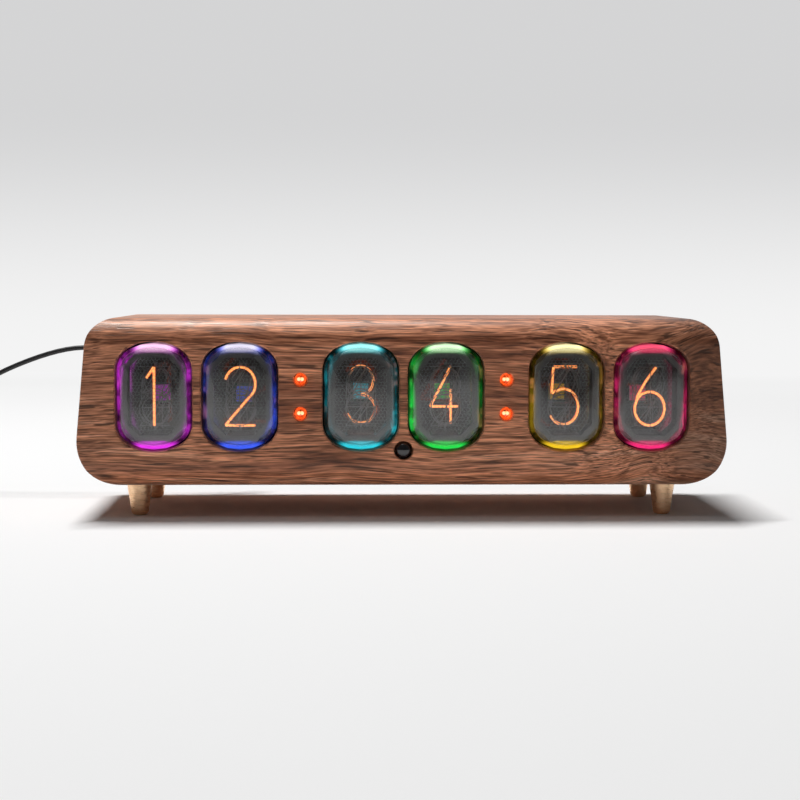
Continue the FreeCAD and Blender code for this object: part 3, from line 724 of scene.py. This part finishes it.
walnut = {
    "dark": (0.290, 0.098, 0.048),
    "middle": (0.660, 0.265, 0.138),
    "light": (0.860, 0.450, 0.285),
    "pore": (0.040, 0.014, 0.007),
    "gloss": (1.0, 0.84, 0.72),
    "roughness": (0.32, 0.50),
    "rightEnd": 0.64,        # how much darker the ends are
    "leftEnd": 0.30,
    # strength of the painted orange glow on the wood round the neon lamps
    "paintedLampGlow": 0.05,
    "push": (0.007, 0.036),  # of the swirls, on the left and on the right
    # scales of the grain along the case, across it and upwards
    "zones": (9, 26, 30),
    "bands": (6, 150, 190),
    "lines": (34, 1000, 1250),
    "fibre": (120, 1700, 2100),
    "pores": (60, 1300, 1650),
    "streaks": [
        (0.34, (0.44, 0.38, 0.35)), (0.47, (0.88, 0.86, 0.85)), (0.54, (1, 1, 1)), (0.68, (1.40, 1.46, 1.52)),
    ],
    "shades": [(0.32, (0.36, 0.32, 0.30)), (0.52, (1, 1, 1)), (0.72, (1.60, 1.64, 1.68))],
}


def walnutMaterial():
    material, tree, shader = newMaterial("walnut", {
        "Specular IOR Level": 0.55, "Specular Tint": (*walnut["gloss"], 1),
        "Sheen Weight": 0.14, "Sheen Roughness": 0.4, "Sheen Tint": (*walnut["gloss"], 1),
    })
    here = objectCoordinates(tree)
    split = splitOn(tree, here)
    # slow swirls push the bands aside, more so towards the right end
    swirl = addNode(tree, "ShaderNodeTexNoise", {"Scale": 18.0, "Detail": 2.0, "Roughness": 0.45})
    feed(swirl, "Vector", here)
    centred = addNode(tree, "ShaderNodeVectorMath", {1: (0.5, 0.5, 0.5)}, operation="SUBTRACT")
    feed(centred, 0, swirl.outputs["Color"])
    pushed = addNode(tree, "ShaderNodeVectorMath", operation="SCALE")
    feed(pushed, 0, centred.outputs["Vector"])
    feed(pushed, "Scale", rangeOn(tree, split["X"], 0.02, 0.085, *walnut["push"]))
    moved = addNode(tree, "ShaderNodeVectorMath", operation="ADD")
    feed(moved, 0, here)
    feed(moved, 1, pushed.outputs["Vector"])

    def grain(name, *settings):
        mapping = addNode(tree, "ShaderNodeMapping", {"Scale": walnut[name]})
        feed(mapping, "Vector", moved.outputs["Vector"])
        return noiseOn(tree, mapping.outputs["Vector"], 1.0, *settings)

    zones = grain("zones", 2, 0.5)
    bands = grain("bands", 3, 0.6)
    lines = grain("lines", 3, 0.6, 0.2)
    fibre = grain("fibre", 2, 0.55)
    pores = grain("pores", 1, 0.5)
    tone = mathOn(tree, "MULTIPLY_ADD", bands, 0.60, times(tree, zones, 0.40))
    colour = rampOn(tree, tone, [
        (0.38, walnut["dark"]), (0.48, walnut["middle"]), (0.53, walnut["middle"]), (0.63, walnut["light"]),
    ])
    colour = mixOn(tree, 1.0, colour, rampOn(tree, lines, walnut["streaks"]), "MULTIPLY")
    colour = mixOn(tree, 1.0, colour, rampOn(tree, fibre, walnut["shades"]), "MULTIPLY")
    hollow = rangeOn(tree, pores, 0.60, 0.68)
    colour = mixOn(tree, times(tree, hollow, 0.85), colour, walnut["pore"])
    rightEnd = rangeOn(tree, split["X"], 0.060, 0.092, 0.0, walnut["rightEnd"])
    leftEnd = rangeOn(tree, minus(tree, split["X"]), 0.074, 0.094, 0.0, walnut["leftEnd"])
    feed(shader, "Base Color", mixOn(tree, mathOn(tree, "ADD", rightEnd, leftEnd), colour, walnut["pore"]))
    feed(shader, "Roughness", rangeOn(tree, fibre, 0.3, 0.7, *walnut["roughness"]))
    relief = mathOn(tree, "MULTIPLY_ADD", lines, 0.6, times(tree, fibre, 0.5))
    relief = mathOn(tree, "SUBTRACT", relief, hollow)
    bumpOn(tree, shader, relief, 0.30, 0.00014)
    # painted glow: the wood round the neon lamps is given an orange emission, as if they lit it
    sideways = mathOn(tree, "SUBTRACT", mathOn(tree, "ABSOLUTE", split["X"]), windows["lampX"])
    upward = mathOn(tree, "ABSOLUTE", mathOn(tree, "SUBTRACT", split["Z"], windows["height"]))
    upward = mathOn(tree, "SUBTRACT", upward, windows["lampRise"])
    away = mathOn(tree, "POWER", sideways, 2.0)
    away = mathOn(tree, "SQRT", mathOn(tree, "MULTIPLY_ADD", upward, upward, away))
    halo = oneLess(tree, rangeOn(tree, away, windows["lampRadius"], 0.0046))
    halo = times(tree, halo, oneLess(tree, rangeOn(tree, split["Y"], -0.0300, -0.0235)))
    shader.inputs["Emission Color"].default_value = (1.0, 0.20, 0.04, 1)
    feed(shader, "Emission Strength", times(tree, halo, walnut["paintedLampGlow"]))
    return material


# half the case's width at a height, drawn in by an inset
def halfWidth(height, inset):
    centreX, centreZ = case["lowerCentre"]
    slant = math.radians(case["slant"])
    return centreX + (case["bottomRadius"] - inset - (height - centreZ) * math.sin(slant)) / math.cos(slant)


# a block with the case's outline, between two depths, with its own corner radius if given
def slantedBlock(inset, start, end, segments, radius=None):
    topRadius = radius or case["topRadius"] - inset
    bottomRadius = radius or case["bottomRadius"] - inset
    low, high = case["base"] + inset, case["top"] - inset
    wide, narrow = halfWidth(low, inset), halfWidth(high, inset)
    piece = block((-wide, start, low), (wide, end, high))
    pickFaces(piece, lambda centre, normal: normal.z > 0.9)
    bpy.ops.transform.resize(value=(narrow / wide, 1, 1), center_override=(0, 0, high))
    for height, size, corner in (
        (low, bottomRadius, 90 - case["slant"]), (high, topRadius, 90 + case["slant"]),
    ):
        reach = size / math.tan(math.radians(corner / 2))
        bevelAt(
            piece, lambda a, b: max(abs(a.z - height), abs(b.z - height)) < tiny and abs(a.y - b.y) > tiny,
            reach, segments,
        )
    return piece


# the outline of a window about its own middle, as points of a flat closed curve
def windowPoints(steps=7):
    sweep = math.radians(windows["cornerSweep"])
    radius = windows["cornerRadius"]
    side = windows["halfWidth"] - radius
    crownRadius = radius + side / math.cos(sweep)
    crown = windows["halfHeight"] - crownRadius
    rise = crown + side * math.tan(sweep)
    arcs = [
        (side, rise, radius, 0, sweep), (0, crown, crownRadius, sweep, math.pi - sweep),
        (-side, rise, radius, math.pi - sweep, math.pi),
    ]
    upper = []
    for x, z, r, start, end in arcs:
        for i in range(steps + (r == radius and start != 0)):
            turn = start + (end - start) * i / steps
            upper.append((x + r * math.cos(turn), z + r * math.sin(turn)))
    return upper + [(-x, -z) for x, z in upper]


# a flat closed curve made into a block that runs from the front to the back
def cutterFrom(points, x, z, start, end):
    curve = bpy.data.curves.new("windowCutter", "CURVE")
    curve.dimensions = "2D"
    curve.fill_mode = "BOTH"
    curve.extrude = (end - start) / 2
    addSpline(curve, "POLY", [(u, v, 0) for u, v in points]).use_cyclic_u = True
    cutter = uprightMesh(curve, (x, (start + end) / 2, z))
    mergeAndTurnOut(cutter)
    return cutter


def makeCase():
    front, rear, base, top = case["front"], case["rear"], case["base"], case["top"]
    wood = slantedBlock(0, front, rear, 20)
    for depth in (front, rear):
        bevelAt(wood, lambda a, b: max(abs(a.y - depth), abs(b.y - depth)) < tiny, case["endEdge"], 3)
    spare = 0.00001
    profile = block((-0.11, front - spare, base - spare), (0.11, rear + spare, top + spare))
    bevelAt(profile, lambda a, b: max(a.y, b.y) < front + tiny and abs(a.x - b.x) > tiny, case["frontRoll"], 18)
    bevelAt(profile, lambda a, b: min(a.y, b.y) > rear - tiny and abs(a.x - b.x) > tiny, case["rearRoll"], 8)
    combine(wood, profile, "INTERSECT")
    inside = front + case["wall"]
    combine(wood, slantedBlock(case["wall"], inside, rear + 0.01, 8, case["cavityRadius"]), "DIFFERENCE")
    combine(wood, slantedBlock(case["rim"], rear - case["coverThickness"], rear + 0.01, 12), "DIFFERENCE")
    mouth = front + windows["flare"]
    cutters = []
    for x in windows["places"]:
        cutter = cutterFrom(windowPoints(), x, windows["height"], mouth, inside + 0.001)
        pickFaces(cutter, lambda centre, normal: normal.y < -0.9)
        step = windows["flare"] + 0.0002
        bpy.ops.mesh.extrude_region_move(TRANSFORM_OT_translate={"value": (0, -step, 0)})
        grow = (1 + step / windows["halfWidth"], 1, 1 + step / windows["halfHeight"])
        bpy.ops.transform.resize(value=grow, center_override=(x, mouth, windows["height"]))
        leaveEdit()
        cutters.append(cutter)
    holes = [
        (side * windows["lampX"], windows["height"] + up * windows["lampRise"], windows["lampRadius"])
        for side in (-1, 1) for up in (-1, 1)
    ]
    holes.append((0, windows["eyeHeight"], windows["eyeRadius"]))
    for x, z, radius in holes:
        wide, deep = windows["holeFlare"]
        flareStart = case["wall"] + deep
        drill = turned([(radius, 0), (radius, flareStart), (radius + wide, flareStart + deep)], 40)
        place(drill, (x, inside + 0.001, z), toFront)
        cutters.append(drill)
    combine(wood, joined(cutters), "DIFFERENCE")
    mergeAndTurnOut(wood)
    finishPiece(wood, "walnutCase", walnutMaterial(), instead=["wooden_case"], sharp=28)
    applyModifier(wood, "WEIGHTED_NORMAL", mode="FACE_AREA", weight=60, keep_sharp=True)


makeCase()
print("walnut case done")


# number tubes
tubes = {
    "halfWidth": 0.01075,
    "halfHeight": 0.0156,
    "edge": 0.0006,
    "squareness": 3.2,       # of the outline, as the power of a rounded square
    # strength of the painted backlight glow on the glass
    "glow": 0.46,
    "backlight": 0.16,
    "glows": [
        (0.80, 0.04, 0.86), (0.05, 0.12, 0.95), (0.03, 0.62, 0.74),
        (0.02, 0.72, 0.08), (0.90, 0.58, 0.02), (0.95, 0.03, 0.20),
    ],
    # colours of the painted highlight crescent at the top of each glass
    "paintedCrescents": [
        (0.70, 0.42, 0.62), (0.50, 0.48, 0.60), (0.26, 0.68, 0.68),
        (0.50, 0.74, 0.45), (0.74, 0.68, 0.36), (0.62, 0.06, 0.12),
    ],
    # painted glow of the backlight in the glass at its upper left, lower left, upper right and lower right
    "sides": [
        (0.75, 0.35, 0.65, 0.75), (0.30, 0.25, 0.30, 0.65), (0.40, 0.12, 0.10, 0.75),
        (0.60, 0.90, 0.20, 0.10), (0.12, 0.25, 0.10, 0.15), (0.95, 0.35, 0.15, 0.80),
    ],
    "meshRadius": 0.00062,
    "meshWire": 0.00010,
    "meshSheet": 0.0001,
    "meshHalfWidth": 0.00795,
    "meshHalfHeight": 0.0118,
    "meshDepth": -0.0285,
    "meshCut": 0.0155,       # of the sum of the two, at its corners
    "glowRadius": 0.00042,
    "glowGrain": 0.00013,    # of the mesh of a lit digit
    "digitHalfWidth": 0.00445,
    "digitHalfHeight": 0.00865,
    "wireRadius": 0.00013,
    "stackStart": -0.0276,
    "stackPitch": 0.00095,
    "tabReach": 1.14,
}


# the tube's glass; its emission paints the backlight's coloured glow round its rim
def tubeGlass(number):
    colour = tubes["glows"][number - 1]
    material, tree, shader = newMaterial(f"tubeGlass{number}", {
        "Base Color": (0.97, 0.985, 0.99, 1), "Roughness": 0.02, "IOR": 1.5, "Transmission Weight": 1.0,
    })
    here = objectCoordinates(tree, place=(-windows["places"][number - 1], 0, -windows["height"]))
    split = splitOn(tree, here)
    across = mathOn(tree, "DIVIDE", split["X"], tubes["halfWidth"])
    up = mathOn(tree, "DIVIDE", split["Z"], tubes["halfHeight"])
    power = tubes["squareness"]
    wide = mathOn(tree, "POWER", mathOn(tree, "ABSOLUTE", across), power)
    high = mathOn(tree, "POWER", mathOn(tree, "ABSOLUTE", up), power)
    rim = mathOn(tree, "POWER", mathOn(tree, "ADD", high, wide), 1 / power)
    outside = rangeOn(tree, rim, 0.955, 0.985)
    wall = times(tree, rangeOn(tree, rim, 0.80, 0.88), oneLess(tree, outside))
    # painted streaks of the backlight's glow at the sides of the glass
    streaks = noiseOn(tree, objectCoordinates(tree, (700, 40, 150), (number * 3.1, 0, 0)), 1.0, 3, 0.65, 0.8)
    streaks = rangeOn(tree, streaks, 0.46, 0.60, 0.04, 0.62)
    upperLeft, lowerLeft, upperRight, lowerRight = tubes["sides"][number - 1]
    left = rangeOn(tree, up, -0.3, 0.3, lowerLeft, upperLeft)
    right = rangeOn(tree, up, -0.3, 0.3, lowerRight, upperRight)
    toRight = rangeOn(tree, across, -0.5, 0.5)
    side = mathOn(tree, "MULTIPLY_ADD", mathOn(tree, "SUBTRACT", right, left), toRight, left)
    middle = oneLess(tree, rangeOn(tree, mathOn(tree, "ABSOLUTE", up), 0.55, 0.85))
    sides = times(tree, times(tree, streaks, side), middle)
    narrow = oneLess(tree, rangeOn(tree, mathOn(tree, "ABSOLUTE", across), 0.30, 0.72))
    # a painted highlight crescent at the top and a painted glow crescent at the bottom
    top = times(tree, rangeOn(tree, up, 0.74, 0.90), narrow)
    bottom = times(tree, times(tree, rangeOn(tree, minus(tree, up), 0.78, 0.92), narrow), 0.62)
    strength = mathOn(tree, "MAXIMUM", sides, mathOn(tree, "MAXIMUM", top, bottom))
    # painted warm streaks of light from the lit digits and lamps, where the painted backlight glow is weak
    warm = noiseOn(tree, objectCoordinates(tree, (900, 60, 210), (0, number * 1.7, 0)), 1.0, 2, 0.6, 0.5)
    warm = times(tree, rangeOn(tree, warm, 0.57, 0.66), oneLess(tree, side))
    warm = times(tree, times(tree, warm, middle), 0.8)
    strength = times(tree, mathOn(tree, "MULTIPLY_ADD", warm, 0.35, strength), wall)
    tint = mixOn(tree, warm, mixOn(tree, top, colour, tubes["paintedCrescents"][number - 1]), (0.85, 0.26, 0.14))
    feed(shader, "Emission Color", tint)
    feed(shader, "Emission Strength", times(tree, strength, tubes["glow"]))
    clear = addNode(tree, "ShaderNodeBsdfTransparent")
    rays = addNode(tree, "ShaderNodeLightPath")
    blendSurface(tree, rays.outputs["Is Shadow Ray"], shader.outputs["BSDF"], clear.outputs["BSDF"])
    return material


def makeGlass(number):
    node = f"tube_{number}_glass"
    glass = copyOfNode(node)
    applyModifier(
        glass, "BEVEL", width=tubes["edge"], segments=3, limit_method="ANGLE", angle_limit=math.radians(25),
    )
    finishPiece(glass, f"tubeGlass{number}", tubeGlass(number), instead=[node], sharp=50)


# the honeycomb in the anode's window, about the middle of a tube
def makeHoneycomb():
    clearSelection()
    radius = tubes["meshRadius"]
    column, row = math.sqrt(3) * radius, 1.5 * radius
    columns = 2 * math.ceil(tubes["meshHalfWidth"] / column) + 2
    rows = 2 * math.ceil(tubes["meshHalfHeight"] / (2 * row)) + 2
    start = (-columns / 2 * column, -rows * row, 0)
    bpy.ops.mesh.primitive_circle_add(vertices=6, radius=radius, fill_type="NGON", location=start)
    net = bpy.context.object
    settle(net)
    for count, step in ((columns, (column, 0, 0)), (2, (column / 2, row, 0)), (rows, (0, 2 * row, 0))):
        applyModifier(
            net, "ARRAY", count=count, use_relative_offset=False, use_constant_offset=True,
            constant_offset_displace=step,
        )
    bpy.context.tool_settings.mesh_select_mode = (False, False, True)
    editAll(net)
    bpy.ops.mesh.remove_doubles(threshold=radius / 20)
    corner = tubes["meshCut"] / math.sqrt(2)
    cuts = [(1, 0, tubes["meshHalfWidth"]), (0, 1, tubes["meshHalfHeight"]), (1, 1, corner), (1, -1, corner)]
    for x, y, reach in cuts:
        for way in (-1, 1):
            normal = Vector((way * x, way * y, 0)).normalized()
            bpy.ops.mesh.select_all(action="SELECT")
            bpy.ops.mesh.bisect(plane_co=normal * reach, plane_no=normal, clear_outer=True)
    bpy.ops.mesh.select_all(action="SELECT")
    bpy.ops.mesh.inset(thickness=tubes["meshWire"] / 2, use_individual=True)
    bpy.ops.mesh.delete(type="FACE")
    leaveEdit()
    applyModifier(net, "SOLIDIFY", thickness=tubes["meshSheet"], offset=0)
    place(net, (0, 0, 0), toFront)
    mergeAndTurnOut(net)
    return net


# the strokes of the digits, where 1 is half a digit's width or height
def bow(centreU, centreV, radiusU, radiusV, start, end):
    steps = max(3, round(abs(end - start) / 15))
    turns = [math.radians(start + (end - start) * i / steps) for i in range(steps + 1)]
    return [(centreU + radiusU * math.cos(turn), centreV + radiusV * math.sin(turn)) for turn in turns]


digitStrokes = {
    0: [bow(0, 0, 1, 1, 0, 360)],
    1: [[(-0.5, 0.62), (0, 1)], [(0, 1), (0, -1)]],
    2: [bow(0, 0.42, 1, 0.58, 165, -30) + [(-1, -1)], [(-1, -1), (1, -1)]],
    3: [bow(0, 0.5, 0.85, 0.5, 160, -90), bow(0, -0.5, 1, 0.5, 90, -160)],
    4: [[(0.4, 1), (-1, -0.4)], [(-1, -0.4), (1, -0.4)], [(0.4, 0.2), (0.4, -1)]],
    5: [
        [(0.85, 1), (-0.75, 1)], [(-0.75, 1), (-0.85, 0.08)],
        [(-0.85, 0.08)] + bow(-0.05, -0.38, 1, 0.62, 108, -150),
    ],
    6: [bow(0, -0.42, 1, 0.58, 0, 360), [(0.4, 1), (-0.3, 0.5), (-0.82, 0.02), (-1, -0.42)]],
    7: [[(-1, 1), (1, 1)], [(1, 1), (-0.3, -1)]],
    8: [bow(0, 0.5, 0.84, 0.5, 0, 360), bow(0, -0.5, 1, 0.5, 0, 360)],
    9: [bow(0, 0.42, 1, 0.58, 180, 540), [(-0.4, -1), (0.3, -0.5), (0.82, -0.02), (1, 0.42)]],
}
# where a digit's two tabs stand, above and below it, if not at its middle
digitTabs = {4: (0.4, 0.4), 6: (0.4, 0), 7: (0, -0.3), 9: (0, -0.4)}
stackOrder = (1, 6, 2, 7, 5, 0, 4, 9, 8, 3)      # from the front


# round strokes along points in the plane of one digit, as a mesh
def strokesMesh(strokes, radius, resolution, x, y):
    curve = bpy.data.curves.new("strokes", "CURVE")
    curve.dimensions = "3D"
    curve.bevel_depth = radius
    curve.bevel_resolution = resolution
    curve.use_fill_caps = True
    wide, high = tubes["digitHalfWidth"], tubes["digitHalfHeight"]
    for points in strokes:
        addSpline(curve, "POLY", [(u * wide, v * high, 0) for u, v in points])
    return uprightMesh(curve, (x, y, windows["height"]))


def makeLitDigit(number, x, material):
    node = f"tube_{number}_lit_digit"
    low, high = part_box(node)
    digit = strokesMesh(digitStrokes[number], tubes["glowRadius"], 3, x, (low.y + high.y) / 2)
    applyModifier(digit, "REMESH", mode="VOXEL", voxel_size=tubes["glowGrain"])
    applyModifier(digit, "SMOOTH", factor=0.5, iterations=4)
    finishPiece(digit, f"litDigit{number}", material, instead=[node], sharp=80)


# the nine dark digits, as thin wires with a tab above and below
def makeDarkDigits(number, x, material):
    digits = []
    for i, digit in enumerate(stackOrder):
        if digit == number:
            continue
        sides = zip(digitTabs.get(digit, (0, 0)), (1, -1))
        tabs = [[(u, way * 0.98), (u, way * tubes["tabReach"])] for u, way in sides]
        y = tubes["stackStart"] + i * tubes["stackPitch"]
        digits.append(strokesMesh(digitStrokes[digit] + tabs, tubes["wireRadius"], 1, x, y))
    finishPiece(
        joined(digits), f"darkDigits{number}", material,
        instead=[f"tube_{number}_digits"], sharp=60,
    )


def makeTubes():
    honeycomb = makeHoneycomb()
    nickel = plainMetal("electrodeNickel", (0.13, 0.125, 0.12), 0.42)
    wireNickel = plainMetal("wireNickel", (0.24, 0.23, 0.22), 0.35)
    meshNickel = plainMetal("meshNickel", (0.26, 0.255, 0.25), 0.32)
    digitGlow = gasGlow("digitGlow", (1.0, 0.42, 0.12), (0.95, 0.10, 0.010), 1.5)
    for number, x in enumerate(windows["places"], start=1):
        makeGlass(number)
        net = copyOf(honeycomb, (x, tubes["meshDepth"], windows["height"]))
        finishPiece(net, f"anodeMesh{number}", meshNickel)
        makeLitDigit(number, x, digitGlow)
        makeDarkDigits(number, x, wireNickel)
        paint(nickel, f"tube_{number}_anode")
        light = glowMaterial(f"light{number}", tubes["glows"][number - 1], tubes["backlight"])
        paint(light, f"backlight_{number}")
    bpy.data.objects.remove(honeycomb)


makeTubes()
print("tubes done")


# neon lamps of the two colons
lamps = {
    "mouth": -0.01595,
    "radius": 0.00175,
    "straight": 0.01225,     # from the mouth to the dome
    "wall": 0.00035,
    "glowStart": -0.0229,
    "glowLength": 0.0046,
    "glowRadius": 0.00060,
    "electrodeX": 0.00055,
}


# bulb glass with a painted orange glow of the neon in it, patchy by a noise
def lampGlass():
    material, tree, shader = newMaterial("lampGlass", {
        "Base Color": (1.0, 0.90, 0.84, 1), "Roughness": 0.03, "IOR": 1.45, "Transmission Weight": 1.0,
        "Emission Color": (1.0, 0.095, 0.012, 1),
    })
    paintedGlowSpread = noiseOn(tree, objectCoordinates(tree), 1500, 2)
    feed(shader, "Emission Strength", rangeOn(tree, paintedGlowSpread, 0.42, 0.60, 0.06, 0.36))
    return material


def makeLamps():
    radius = lamps["radius"]
    bulb = turned([(radius, 0)] + domeRings(radius, lamps["straight"], radius, 10, 0.00008), 32)
    pickFaces(bulb, lambda centre, normal: normal.z < -0.9)
    bpy.ops.mesh.delete(type="FACE")
    leaveEdit()
    applyModifier(bulb, "SOLIDIFY", thickness=lamps["wall"], offset=-1)
    mergeAndTurnOut(bulb)
    place(bulb, (0, lamps["mouth"], 0), toFront)
    end = lamps["glowLength"]
    wide = lamps["glowRadius"]
    capsule = turned([
        (0.4 * wide, 0), (0.8 * wide, 0.2 * wide), (wide, 0.6 * wide), (wide, end - 0.6 * wide),
        (0.8 * wide, end - 0.2 * wide), (0.4 * wide, end),
    ], 16)
    place(capsule, (0, lamps["glowStart"], 0), toFront)
    glass = lampGlass()
    neon = gasGlow("neonGlow", (1.0, 0.66, 0.40), (1.0, 0.30, 0.10), 1.5)
    for side, name in ((-1, "left"), (1, "right")):
        x = side * windows["lampX"]
        heights = [windows["height"] + up * windows["lampRise"] for up in (-1, 1)]
        bulbs = joined([copyOf(bulb, (x, 0, z)) for z in heights])
        finishPiece(bulbs, f"lampBulbs.{name}", glass, instead=[f"colon_lamps_{name}"], sharp=50)
        glows = joined([
            copyOf(capsule, (x + way * lamps["electrodeX"], 0, z)) for z in heights for way in (-1, 1)
        ])
        finishPiece(glows, f"lampGlow.{name}", neon, sharp=50)
    bpy.data.objects.remove(bulb)
    bpy.data.objects.remove(capsule)


makeLamps()
paint(plainMetal("lampWire", (0.45, 0.43, 0.40), 0.35), "lamp_electrodes")
print("neon lamps done")


# dome of the remote control receiver
eye = {
    "radius": 0.00258,
    "start": -0.0262,
    "straight": 0.0024,
    "domeDepth": 0.0020,
}


def makeEye():
    radius = eye["radius"]
    dome = turned([(radius, 0)] + domeRings(radius, eye["straight"], eye["domeDepth"], 9, 0.0001), 40)
    place(dome, (0, eye["start"], windows["eyeHeight"]), toFront)
    material, tree, shader = newMaterial("receiverBlack", {
        "Base Color": (0.006, 0.006, 0.008, 1), "Specular IOR Level": 0.55,
        "Coat Weight": 0.6, "Coat Roughness": 0.04,
    })
    haze = noiseOn(tree, objectCoordinates(tree), 1200, 2)
    feed(shader, "Roughness", rangeOn(tree, haze, 0.3, 0.7, 0.07, 0.13))
    finishPiece(dome, "receiverDome", material, sharp=50)
    paint(material, "infrared_receiver")


makeEye()
print("receiver done")


# turned brass feet
feet = {
    "x": 0.0785,
    "frontY": -0.01845,
    "rearY": 0.02155,
    "rings": [
        (0.00145, 0.0), (0.00190, 0.00010), (0.00226, 0.00036), (0.00252, 0.00080), (0.00268, 0.00145),
        (0.00277, 0.00230), (0.00376, 0.00925), (0.00378, 0.0094),
    ],
}


def makeFeet():
    brass, tree, shader = newMaterial("footBrass", {"Metallic": 1.0})
    turnedLines = noiseOn(tree, objectCoordinates(tree, (260, 260, 5200)), 1.0, 2)
    wear = noiseOn(tree, objectCoordinates(tree), 420, 3)
    colour = rampOn(tree, wear, [(0.35, (0.88, 0.56, 0.33)), (0.65, (0.98, 0.67, 0.42))])
    feed(shader, "Base Color", colour)
    feed(shader, "Roughness", rangeOn(tree, turnedLines, 0.3, 0.7, 0.24, 0.36))
    bumpOn(tree, shader, turnedLines, 0.12, 0.00004)
    foot = turned(feet["rings"], 48)
    for depth, y in (("front", feet["frontY"]), ("rear", feet["rearY"])):
        for side, x in (("left", -feet["x"]), ("right", feet["x"])):
            name = f"{depth}_{side}"
            copy = copyOf(foot, (x, y, 0))
            finishPiece(copy, f"brassFoot.{name}", brass, instead=[f"foot_{name}"], sharp=60)
    bpy.data.objects.remove(foot)


makeFeet()
print("feet done")


# rear: cover panel, its screws and the three push buttons
rearSide = {
    "coverEdge": 0.0004,
    "buttonX": {"set": 0.024, "up": 0.036, "down": 0.048},
    "buttonHole": 0.0026,
    "socketPlace": (-0.060, 0.0478),
    "socketHole": 0.0041,
    "button": [
        (0.0023, 0.02095), (0.0024, 0.02105), (0.0024, 0.02545), (0.0032, 0.02546), (0.0032, 0.02624),
        (0.0024, 0.02625), (0.0024, 0.03065), (0.00232, 0.03088), (0.0021, 0.03102), (0.0018, 0.03105),
        (0.0013, 0.03096), (0.0007, 0.03092),
    ],
    "screw": [
        (0.0006, -0.0090), (0.0010, -0.0085), (0.0010, 0.0), (0.0019, 0.00001), (0.0019, 0.00050),
        (0.00178, 0.00080), (0.0015, 0.00104), (0.0010, 0.00117), (0.0004, 0.0012),
    ],
    "recess": (0.00042, 0.0021, 0.0006),
    "coverScrews": [(0.086604, 0.052652), (0.088264, 0.016536)],
    "boardScrews": [(0.0302, 0.0210), (0.0302, 0.0485)],
    "boardSeat": 0.01515,
}


def makeCover():
    inset = case["rim"] + case["coverGap"]
    start = case["rear"] - case["coverThickness"]
    cover = slantedBlock(inset, start, case["rear"], 14)
    bevelAt(cover, lambda a, b: min(a.y, b.y) > case["rear"] - tiny, rearSide["coverEdge"], 2)
    cutters = []
    holes = [(x, windows["height"], rearSide["buttonHole"]) for x in rearSide["buttonX"].values()]
    holes.append((*rearSide["socketPlace"], rearSide["socketHole"]))
    for x, z, radius in holes:
        depth = case["coverThickness"]
        drill = turned([(radius, -0.001), (radius, depth - 0.0003), (radius + 0.0006, depth + 0.0003)], 40)
        place(drill, (x, start, z), toBack)
        cutters.append(drill)
    combine(cover, joined(cutters), "DIFFERENCE")
    mergeAndTurnOut(cover)
    black = plainPlastic("coverBlack", (0.022, 0.022, 0.024), 0.5)
    finishPiece(cover, "rearPanel", black, instead=["rear_cover"])
    applyModifier(cover, "WEIGHTED_NORMAL", mode="FACE_AREA", weight=60, keep_sharp=True)


def makeScrews():
    screw = turned(rearSide["screw"], 32)
    wide, long, deep = rearSide["recess"]
    top = rearSide["screw"][-1][1]
    for x, y in ((wide, long), (long, wide)):
        slotTool = block((-x / 2, -y / 2, top - deep), (x / 2, y / 2, top + 0.001))
        combine(screw, slotTool, "DIFFERENCE")
    mergeAndTurnOut(screw)
    place(screw, (0, 0, 0), toBack)
    copies = []
    seats = [(rearSide["coverScrews"], case["rear"]), (rearSide["boardScrews"], rearSide["boardSeat"])]
    for places, seat in seats:
        copies += [copyOf(screw, (side * x, seat, z)) for x, z in places for side in (-1, 1)]
    finishPiece(joined(copies), "crossScrews", screwSteel, instead=["case_screws"])
    bpy.data.objects.remove(screw)


def makeButtons():
    black = plainPlastic("buttonBlack", (0.025, 0.025, 0.026), 0.28)
    for name, x in rearSide["buttonX"].items():
        button = turned(rearSide["button"], 40)
        place(button, (x, 0, windows["height"]), toBack)
        finishPiece(
            button, f"pushButton.{name}", black,
            body=f"button_{name}", instead=[f"button_{name}"], sharp=40,
        )


makeCover()
makeScrews()
makeButtons()
print("rear done")


# what stays as the solids are
paint(screwSteel, "foot_screws")
paint(plainPlastic("socketResin", (0.045, 0.028, 0.020), 0.5), "tube_sockets")
paint(plainPlastic("socketBlack", (0.02, 0.02, 0.02), 0.3), "power_socket")
paint(plainPlastic("boardLaminate", (0.012, 0.06, 0.035), 0.35), "tube_board", "control_board")
paint(plainPlastic("chipBlack", (0.03, 0.03, 0.03), 0.45), "driver_chips", "processor", "button_switches")
paint(plainPlastic("chokeFerrite", (0.06, 0.06, 0.065), 0.6), "boost_choke")
paint(plainPlastic("capacitorSleeve", (0.04, 0.06, 0.16), 0.3), "storage_capacitor")
paint(plainMetal("cellSteel", (0.66, 0.66, 0.66), 0.25), "backup_cell")
paint(plainMetal("spacerBrass", (0.76, 0.58, 0.30), 0.3), "board_spacers")
print("inner pieces painted")
